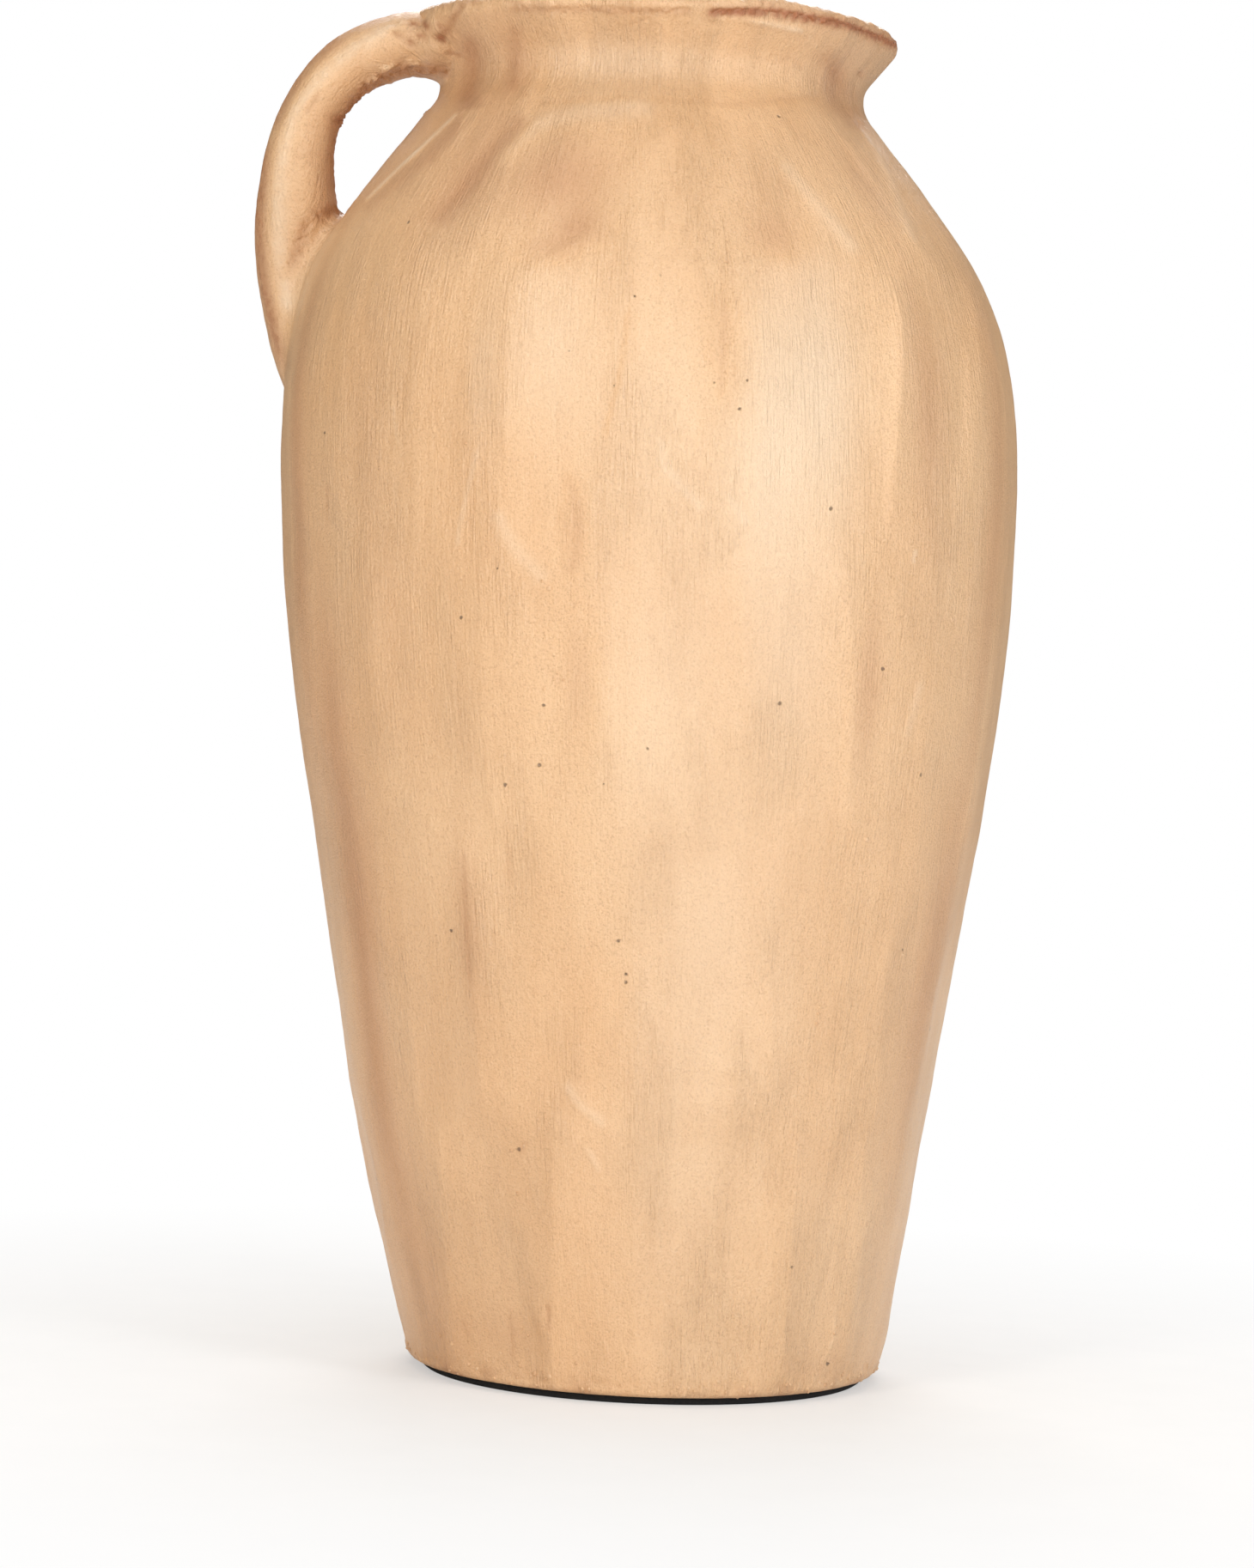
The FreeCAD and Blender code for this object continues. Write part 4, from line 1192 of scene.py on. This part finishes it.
# Stations: at the top the way out and the share of the coil's run, along both curves the swing in degrees and
# the share, and round the bend the thickness and the width as well.
TOP_STATIONS = ((9, 0), (0, 0.04))
BEND_STATIONS = ((30, 0.15, 19.25, 30.5), (60, 0.3, 19, 27), (90, 0.5, 22.75, 27))
ROOT_STATIONS = ((0, 0.65), (12, 0.85), (24, 0.95), (33, 1))
COIL_ROWS, COIL_SIDES, COIL_STRIDE = 380, 130, 6
COIL_BRUSH_RADIUS, COIL_TONE = 11, 0.08
COIL_LUMPS = ((0.35, 22, 21), (0.18, 9, 22), (0.08, 3.5, 23))
COIL_SUNK = 3.0


def handle_stations():
    """Places along the coil's middle: x, y, z, tilt from level in degrees, thickness and width."""

    def lie(share):
        return LIE_ROOT * share + LIE_TOP * (1 - share)

    top = BEND_Z + BEND_HEIGHT
    rows = [(BEND_X + out, lie(share), top, 0, FIRST_THICK, FIRST_WIDE) for out, share in TOP_STATIONS]
    for swing, share, thick, wide in BEND_STATIONS:
        x = BEND_X - BEND_REACH * sin(radians(swing))
        z = BEND_Z + BEND_HEIGHT * cos(radians(swing))
        rows.append((x, lie(share), z, swing, thick, wide))
    for swing, share in ROOT_STATIONS:
        x = BEND_X - BEND_REACH + ROOT_RADIUS * (1 - cos(radians(swing)))
        z = BEND_Z - DROP - ROOT_RADIUS * sin(radians(swing))
        rows.append((x, lie(share), z, 90 + swing, ROOT_THICK, ROOT_WIDE))
    return np.array(rows, float)


def natural_spline(knots, values, at):
    """A smooth curve through the values at the knots."""
    n = len(knots)
    h = np.diff(knots)
    system = np.eye(n)
    right = np.zeros_like(values)
    for i in range(1, n - 1):
        system[i, i - 1 : i + 2] = h[i - 1], 2 * (h[i - 1] + h[i]), h[i]
        right[i] = 6 * ((values[i + 1] - values[i]) / h[i] - (values[i] - values[i - 1]) / h[i - 1])
    bend = np.linalg.solve(system, right)
    i = np.clip(np.searchsorted(knots, at, side="right") - 1, 0, n - 2)
    a = ((knots[i + 1] - at) / h[i])[:, None]
    b = 1 - a
    curve = a * values[i] + b * values[i + 1]
    return curve + ((a**3 - a) * bend[i] + (b**3 - b) * bend[i + 1]) * (h[i] ** 2)[:, None] / 6


STATIONS = handle_stations()
KNOTS = np.concatenate([[0], np.cumsum(np.linalg.norm(np.diff(STATIONS[:, :3], axis=0), axis=1))])
COIL_AT = np.linspace(0, KNOTS[-1], COIL_ROWS)
COIL = natural_spline(KNOTS, STATIONS, COIL_AT)


def coil_frames():
    tilt = np.radians(COIL[:, 3])
    thick_axis = np.column_stack([-np.sin(tilt), np.zeros(len(tilt)), np.cos(tilt)])
    wide_axis = np.tile([0.0, 1.0, 0.0], (len(tilt), 1))
    return COIL[:, :3], thick_axis, wide_axis


UPPER_SIDE = np.concatenate([neck_section(0, 30), lip_section()[:LIP_FLANK_ROWS]])


def upper_radius(z):
    """Outside radius of the neck and of the lip's flank."""
    return np.interp(z, UPPER_SIDE[:, 1], UPPER_SIDE[:, 0])


def bury(verts, depth):
    """Pull what lies deep inside the wall back to just under its outside."""
    away, bearing, z = round_axis(verts)
    wall = np.where(z > JOINTS[-1], upper_radius(z), radius_at(bearing, np.minimum(z, JOINTS[-1])))
    grow = np.maximum((wall - depth) / np.maximum(away, 1e-6), 1)
    middle = middle_x(z)
    return np.column_stack([middle + (verts[:, 0] - middle) * grow, verts[:, 1] * grow, z])


def coil_relief(points):
    return lumps(points, COIL_LUMPS) - RELIEF_SINK + upper_marks(points)[0]


def wall_distance(points):
    """How far points are outside the jug's wall, neck and lip."""
    away, bearing, z = round_axis(points)
    low_z = np.clip(z, JOINTS[0], JOINTS[-1])
    slope = (radius_at(bearing, low_z + 1) - radius_at(bearing, low_z - 1)) / 2
    high = z > JOINTS[-1]
    wall = np.where(high, upper_radius(z), radius_at(bearing, low_z))
    slope = np.where(high, upper_radius(z + 0.5) - upper_radius(z - 0.5), slope)
    return (away - wall) / np.sqrt(1 + slope**2) - wall_relief(points)


def coil_distance(points):
    """How far points are outside the handle's coil."""
    batch = 20000
    centres, thick_axis, wide_axis = coil_frames()
    some = centres[::COIL_STRIDE]
    result = np.empty(len(points))
    for start in range(0, len(points), batch):
        part = points[start : start + batch]
        gaps = (some**2).sum(axis=1) - 2 * part @ some.T
        near = np.clip(gaps.argmin(axis=1) * COIL_STRIDE, 1, len(centres) - 2)
        tangent = centres[near + 1] - centres[near - 1]
        length = np.linalg.norm(tangent, axis=1)
        shift = np.sum((part - centres[near]) * tangent, axis=1) / length**2 * 2
        at = np.clip(near + shift, 0, len(centres) - 1 - SLIVER)
        i = at.astype(int)
        t = (at - i)[:, None]
        centre = centres[i] * (1 - t) + centres[i + 1] * t
        sizes = COIL[i, 4:6] * (1 - t) + COIL[i + 1, 4:6] * t
        away = part - centre
        a = np.sum(away * thick_axis[i], axis=1)
        b = np.sum(away * wide_axis[i], axis=1)
        ratio = np.sqrt((2 * a / sizes[:, 0]) ** 2 + (2 * b / sizes[:, 1]) ** 2)
        result[start : start + batch] = np.linalg.norm(away, axis=1) * (1 - 1 / np.maximum(ratio, 1e-3))
    return result - coil_relief(points)


def merged(a, b, reach):
    """Two distances joined by a fillet of the given reach."""
    overlap = np.maximum(reach - np.abs(a - b), 0) / reach
    return np.minimum(a, b) - overlap**2 * reach / 4


def slope_of(field, points):
    """The slope of a field at points, from its values a small step to both sides."""
    step = 0.2
    slopes = [field(points + step * axis) - field(points - step * axis) for axis in np.eye(3)]
    return np.column_stack(slopes) / (2 * step)


def field_solid(field, low, high, pitch):
    """A closed surface round where a field is below nought, as points and quads."""
    axes = [np.arange(a, b + pitch, pitch) for a, b in zip(low, high)]
    shape = tuple(len(axis) for axis in axes)
    points = np.stack(np.meshgrid(*axes, indexing="ij"), axis=-1)
    values = field(points.reshape(-1, 3)).reshape(shape)
    inside = values < 0
    counts = np.zeros([n - 1 for n in shape], int)
    sums = np.zeros([n - 1 for n in shape] + [3])
    corner = [(i, j, k) for i in (0, 1) for j in (0, 1) for k in (0, 1)]

    def at(array, c):
        return array[tuple(slice(o, n - 1 + o) for o, n in zip(c, shape))]

    for c in corner:
        for axis in range(3):
            if c[axis]:
                continue
            d = tuple(o + (n == axis) for n, o in enumerate(c))
            cross = at(inside, c) != at(inside, d)
            va, vb = at(values, c), at(values, d)
            t = np.where(cross, va / np.where(cross, va - vb, 1), 0)[..., None]
            sums += np.where(cross[..., None], at(points, c) * (1 - t) + at(points, d) * t, 0)
            counts += cross
    number = np.where(counts > 0, np.cumsum(counts.ravel() > 0).reshape(counts.shape) - 1, -1)
    verts = sums[counts > 0] / counts[counts > 0][:, None]
    quads = []
    for axis in range(3):
        u, v = (axis + 1) % 3, (axis + 2) % 3
        here = [slice(1, n - 1) for n in shape]
        here[axis] = slice(0, shape[axis] - 1)
        there = list(here)
        there[axis] = slice(1, shape[axis])
        cross = inside[tuple(here)] != inside[tuple(there)]
        place = np.argwhere(cross)
        place[:, u] += 1
        place[:, v] += 1
        loop = []
        for du, dv in ((-1, -1), (0, -1), (0, 0), (-1, 0)):
            cell = place.copy()
            cell[:, u] += du
            cell[:, v] += dv
            loop.append(number[tuple(cell.T)])
        loop = np.stack(loop, axis=1)
        solid_first = inside[tuple(here)][cross]
        loop[~solid_first] = loop[~solid_first][:, ::-1]
        quads.append(loop)
    return verts, np.concatenate(quads)


# The wads: how fine their surface is cut, how far it is sunk, its skin, and how the lump is worked in.
WAD_PITCH, WAD_SINK, WAD_SKIN, WAD_EDGE_SINK = 1.25, 0.15, 2.2, 0.7
LUMP_FILLET = 5.0
FILLET_GAIN, FILLET_ENDS, EDGE_SINKS, SHOWN_CLAY = 1.05, (0.5, 0.95), (0.72, 0.98), (-0.1, 0.6)
PULLS, PULL_REACH, LEAST_SLOPE = 3, 1.0, 0.05
BOX_INSET = 2


def make_wad(clay, node, ovals, box, fillet, seed):
    """Clay pressed into the angle between coil and jug: a fillet with a lump, sunk in both beyond it."""
    low, high = box
    middle, half = (np.add(low, high)) / 2, np.subtract(high, low) / 2 - BOX_INSET

    def edge_share(points):
        return np.linalg.norm((points - middle) / half, axis=1)

    def clay_field(points, coil=None, wall=None):
        coil = coil_distance(points) if coil is None else coil
        wall = wall_distance(points) if wall is None else wall
        reach = fillet * (FILLET_GAIN - smooth_step(*FILLET_ENDS, edge_share(points)))
        joined = merged(coil + WAD_SINK, wall + WAD_SINK, reach)
        lump = np.min([ellipsoid(*oval, points) for oval in ovals], axis=0)
        uneven = lump - lumps(points, ((0.5, 9, seed), (0.25, 3.5, seed + 1)))
        edge = smooth_step(*EDGE_SINKS, edge_share(points))
        return merged(joined, uneven, LUMP_FILLET) + WAD_EDGE_SINK * edge

    def solid_field(points):
        coil, wall = coil_distance(points), wall_distance(points)
        deep = np.maximum(-(coil + WAD_SKIN), -(wall + WAD_SKIN))
        edge = (edge_share(points) - 1) * half.min()
        return np.maximum(np.maximum(clay_field(points, coil, wall), deep), edge)

    verts, quads = field_solid(solid_field, low, high, WAD_PITCH)
    for _ in range(PULLS):
        slope, value = slope_of(clay_field, verts), clay_field(verts)
        near = np.abs(value) < PULL_REACH
        step = value[:, None] * slope / np.maximum(np.sum(slope**2, axis=1), LEAST_SLOPE)[:, None]
        verts = np.where(near[:, None], verts - step, verts)
    coil, wall = coil_distance(verts), wall_distance(verts)
    on_coil, on_jug = (unit(slope_of(field, verts)) for field in (coil_distance, wall_distance))
    carrier = np.where((coil < wall)[:, None], on_coil, on_jug)
    shown = smooth_step(*SHOWN_CLAY, np.minimum(coil, wall))[:, None]
    normals = unit(unit(slope_of(clay_field, verts)) * shown + carrier * (1 - shown))
    bearing = np.arctan2(verts[:, 1], verts[:, 0] + LEAN)
    # the tone holds painted shade and painted highlights from the marks
    tone = upper_marks(verts)[1] + marks_tone_and_painted_light(*round_axis(verts)[1:])
    fields = {"brush": brush_place(bearing, verts[:, 2]), "tone": tone}
    stand_for(link(node + "_clay", verts, quads, (), normals, fields), clay, node)


def ellipsoid(middle, half, points):
    """Roughly how far points are outside an ellipsoid."""
    away = points - np.array(middle)
    size = np.linalg.norm(away / np.array(half), axis=1)
    return (size - 1) * np.linalg.norm(away, axis=1) / np.maximum(size, 1e-6)


# Each wad: its lumps as the middle and half sizes of ellipsoids, the box round it, the fillet and a seed.
WADS = {
    "handle_top_wad": (
        (((-79, -14, 407), (8, 18, 7)), ((-78, -31, 412), (5, 6, 4))),
        ((-108, -56, 383), (-62, 30, 420)),
        5.0,
        31,
    ),
    "handle_root_wad": (
        (((-112, 6, 340), (9, 13, 16)),),
        ((-142, -38, 286), (-86, 52, 382)),
        6.0,
        41,
    ),
}


def make_handle(clay):
    centres, thick_axis, wide_axis = coil_frames()
    angles = np.linspace(0, 2 * pi, COIL_SIDES, endpoint=False)
    half_thick, half_wide = COIL[:, 4] / 2, COIL[:, 5] / 2
    verts = (
        centres[:, None, :]
        + thick_axis[:, None, :] * (half_thick[:, None] * np.cos(angles))[:, :, None]
        + wide_axis[:, None, :] * (half_wide[:, None] * np.sin(angles))[:, :, None]
    )
    flat = verts.reshape(-1, 3)
    out = unit(flat - np.repeat(centres, COIL_SIDES, axis=0))
    flat = bury(flat + out * coil_relief(flat)[:, None], COIL_SUNK)
    brush = brush_place(angles, COIL_AT[:, None], COIL_BRUSH_RADIUS).reshape(-1, 3)
    quads = ring_quads(COIL_ROWS, COIL_SIDES, False)[:, ::-1]
    caps = [cap[::-1] for cap in end_caps(COIL_ROWS, COIL_SIDES)]
    # the handle's tone carries the painted sheen band and the painted shade along its outer edge
    fields = {"brush": brush, "tone": upper_marks(flat)[1] + COIL_TONE}
    stand_for(link("handle_clay", flat, quads, caps, None, fields), clay, "handle")


# The pad's section as radius and height, from under its middle round the soft edge to over its middle.
PAD_UNDER = ((0.5, 0), (60, 0), (68.2, 0))
PAD_EDGE = ((68.8, 0.4), (69, 1.2), (68.9, 2.0))
PAD_OVER = ((68.3, 2.5), (50, 2.5), (0.5, 2.5))
PAD_SIDES = 180
FLOOR_HALF = 6


def make_pad(felt):
    angles = np.linspace(0, 2 * pi, PAD_SIDES, endpoint=False)
    radii, heights = np.array(PAD_UNDER + PAD_EDGE + PAD_OVER).T[:, :, None]
    rows = np.broadcast_arrays(radii * np.cos(angles), radii * np.sin(angles), heights)
    verts = np.stack(rows, axis=-1).reshape(-1, 3)
    quads = ring_quads(len(radii), PAD_SIDES, False)
    piece = link("foot_pad_felt", verts, quads, end_caps(len(radii), PAD_SIDES))
    stand_for(piece, felt, "foot_pad")


def make_floor():
    mesh = bpy.data.meshes.new("studio_floor")
    corners = [(x * FLOOR_HALF, y * FLOOR_HALF, 0) for x, y in ((-1, -1), (1, -1), (1, 1), (-1, 1))]
    mesh.from_pydata(corners, [], [(0, 1, 2, 3)])
    floor = new_object("studio_floor", mesh)
    floor.data.materials.append(floor_material())
    floor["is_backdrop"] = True


# Softboxes: the place, the height on the jug's axis that each faces, width, height, watts and colour.
SOFTBOXES = {
    "key": ((1.35, -1.25, 0.75), 0.22, 0.5, 1.5, 17, (0.95, 0.98, 1.0)),
    "fill": ((-1.05, -1.6, 0.6), 0.22, 0.45, 1.5, 18.5, (1.0, 0.93, 0.82)),
    "front": ((0.25, -1.8, 0.85), 0.22, 0.9, 0.9, 4.5, (1.0, 1.0, 1.0)),
    "top": ((0.0, -0.1, 1.7), 0.2, 1.4, 1.4, 9, (1.0, 1.0, 1.0)),
    "back": ((0.0, 1.5, 1.4), 0.22, 1.0, 1.0, 16, (1.0, 1.0, 1.0)),
}
MIRRORED_STRENGTH = 0.12
ROOM_COLOUR, ROOM_STRENGTH = (1, 0.91, 0.78, 1), 0.22


def make_softbox(name, place, aim, width, height, power, colour):
    data = bpy.data.lights.new(name, "AREA")
    data.shape = "RECTANGLE"
    data.size, data.size_y = width, height
    data.energy = power
    data.color = colour
    lamp = new_object(name, data)
    lamp.location = place
    lamp.rotation_euler = (Vector((0, 0, aim)) - Vector(place)).to_track_quat("-Z", "Y").to_euler()


def make_world():
    """White to the camera, dim in reflections, and a weak warm light everywhere else."""
    world = bpy.data.worlds.new("studio")
    bpy.context.scene.world = world
    g = Graph(world)
    path = g.add("ShaderNodeLightPath").outputs
    seen = g.add("ShaderNodeBackground", {"Color": WHITE}).outputs[0]
    mirrored = g.add("ShaderNodeBackground", {"Strength": MIRRORED_STRENGTH}).outputs[0]
    room = g.add("ShaderNodeBackground", {"Color": ROOM_COLOUR, "Strength": ROOM_STRENGTH}).outputs[0]
    unseen = g.mix_shaders(path["Is Glossy Ray"], room, mirrored)
    g.show(g.mix_shaders(path["Is Camera Ray"], unseen, seen), "ShaderNodeOutputWorld")


bpy.context.scene.view_settings.view_transform = "Standard"
make_camera()
make_world()
for name, settings in SOFTBOXES.items():
    make_softbox(name, *settings)
make_floor()
clay = clay_material()
make_wall(clay)
make_handle(clay)
for node, settings in WADS.items():
    make_wad(clay, node, *settings)
make_pad(pad_material())

boxes = [[list(corner) for corner in box] for box in (cad_box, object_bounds())]
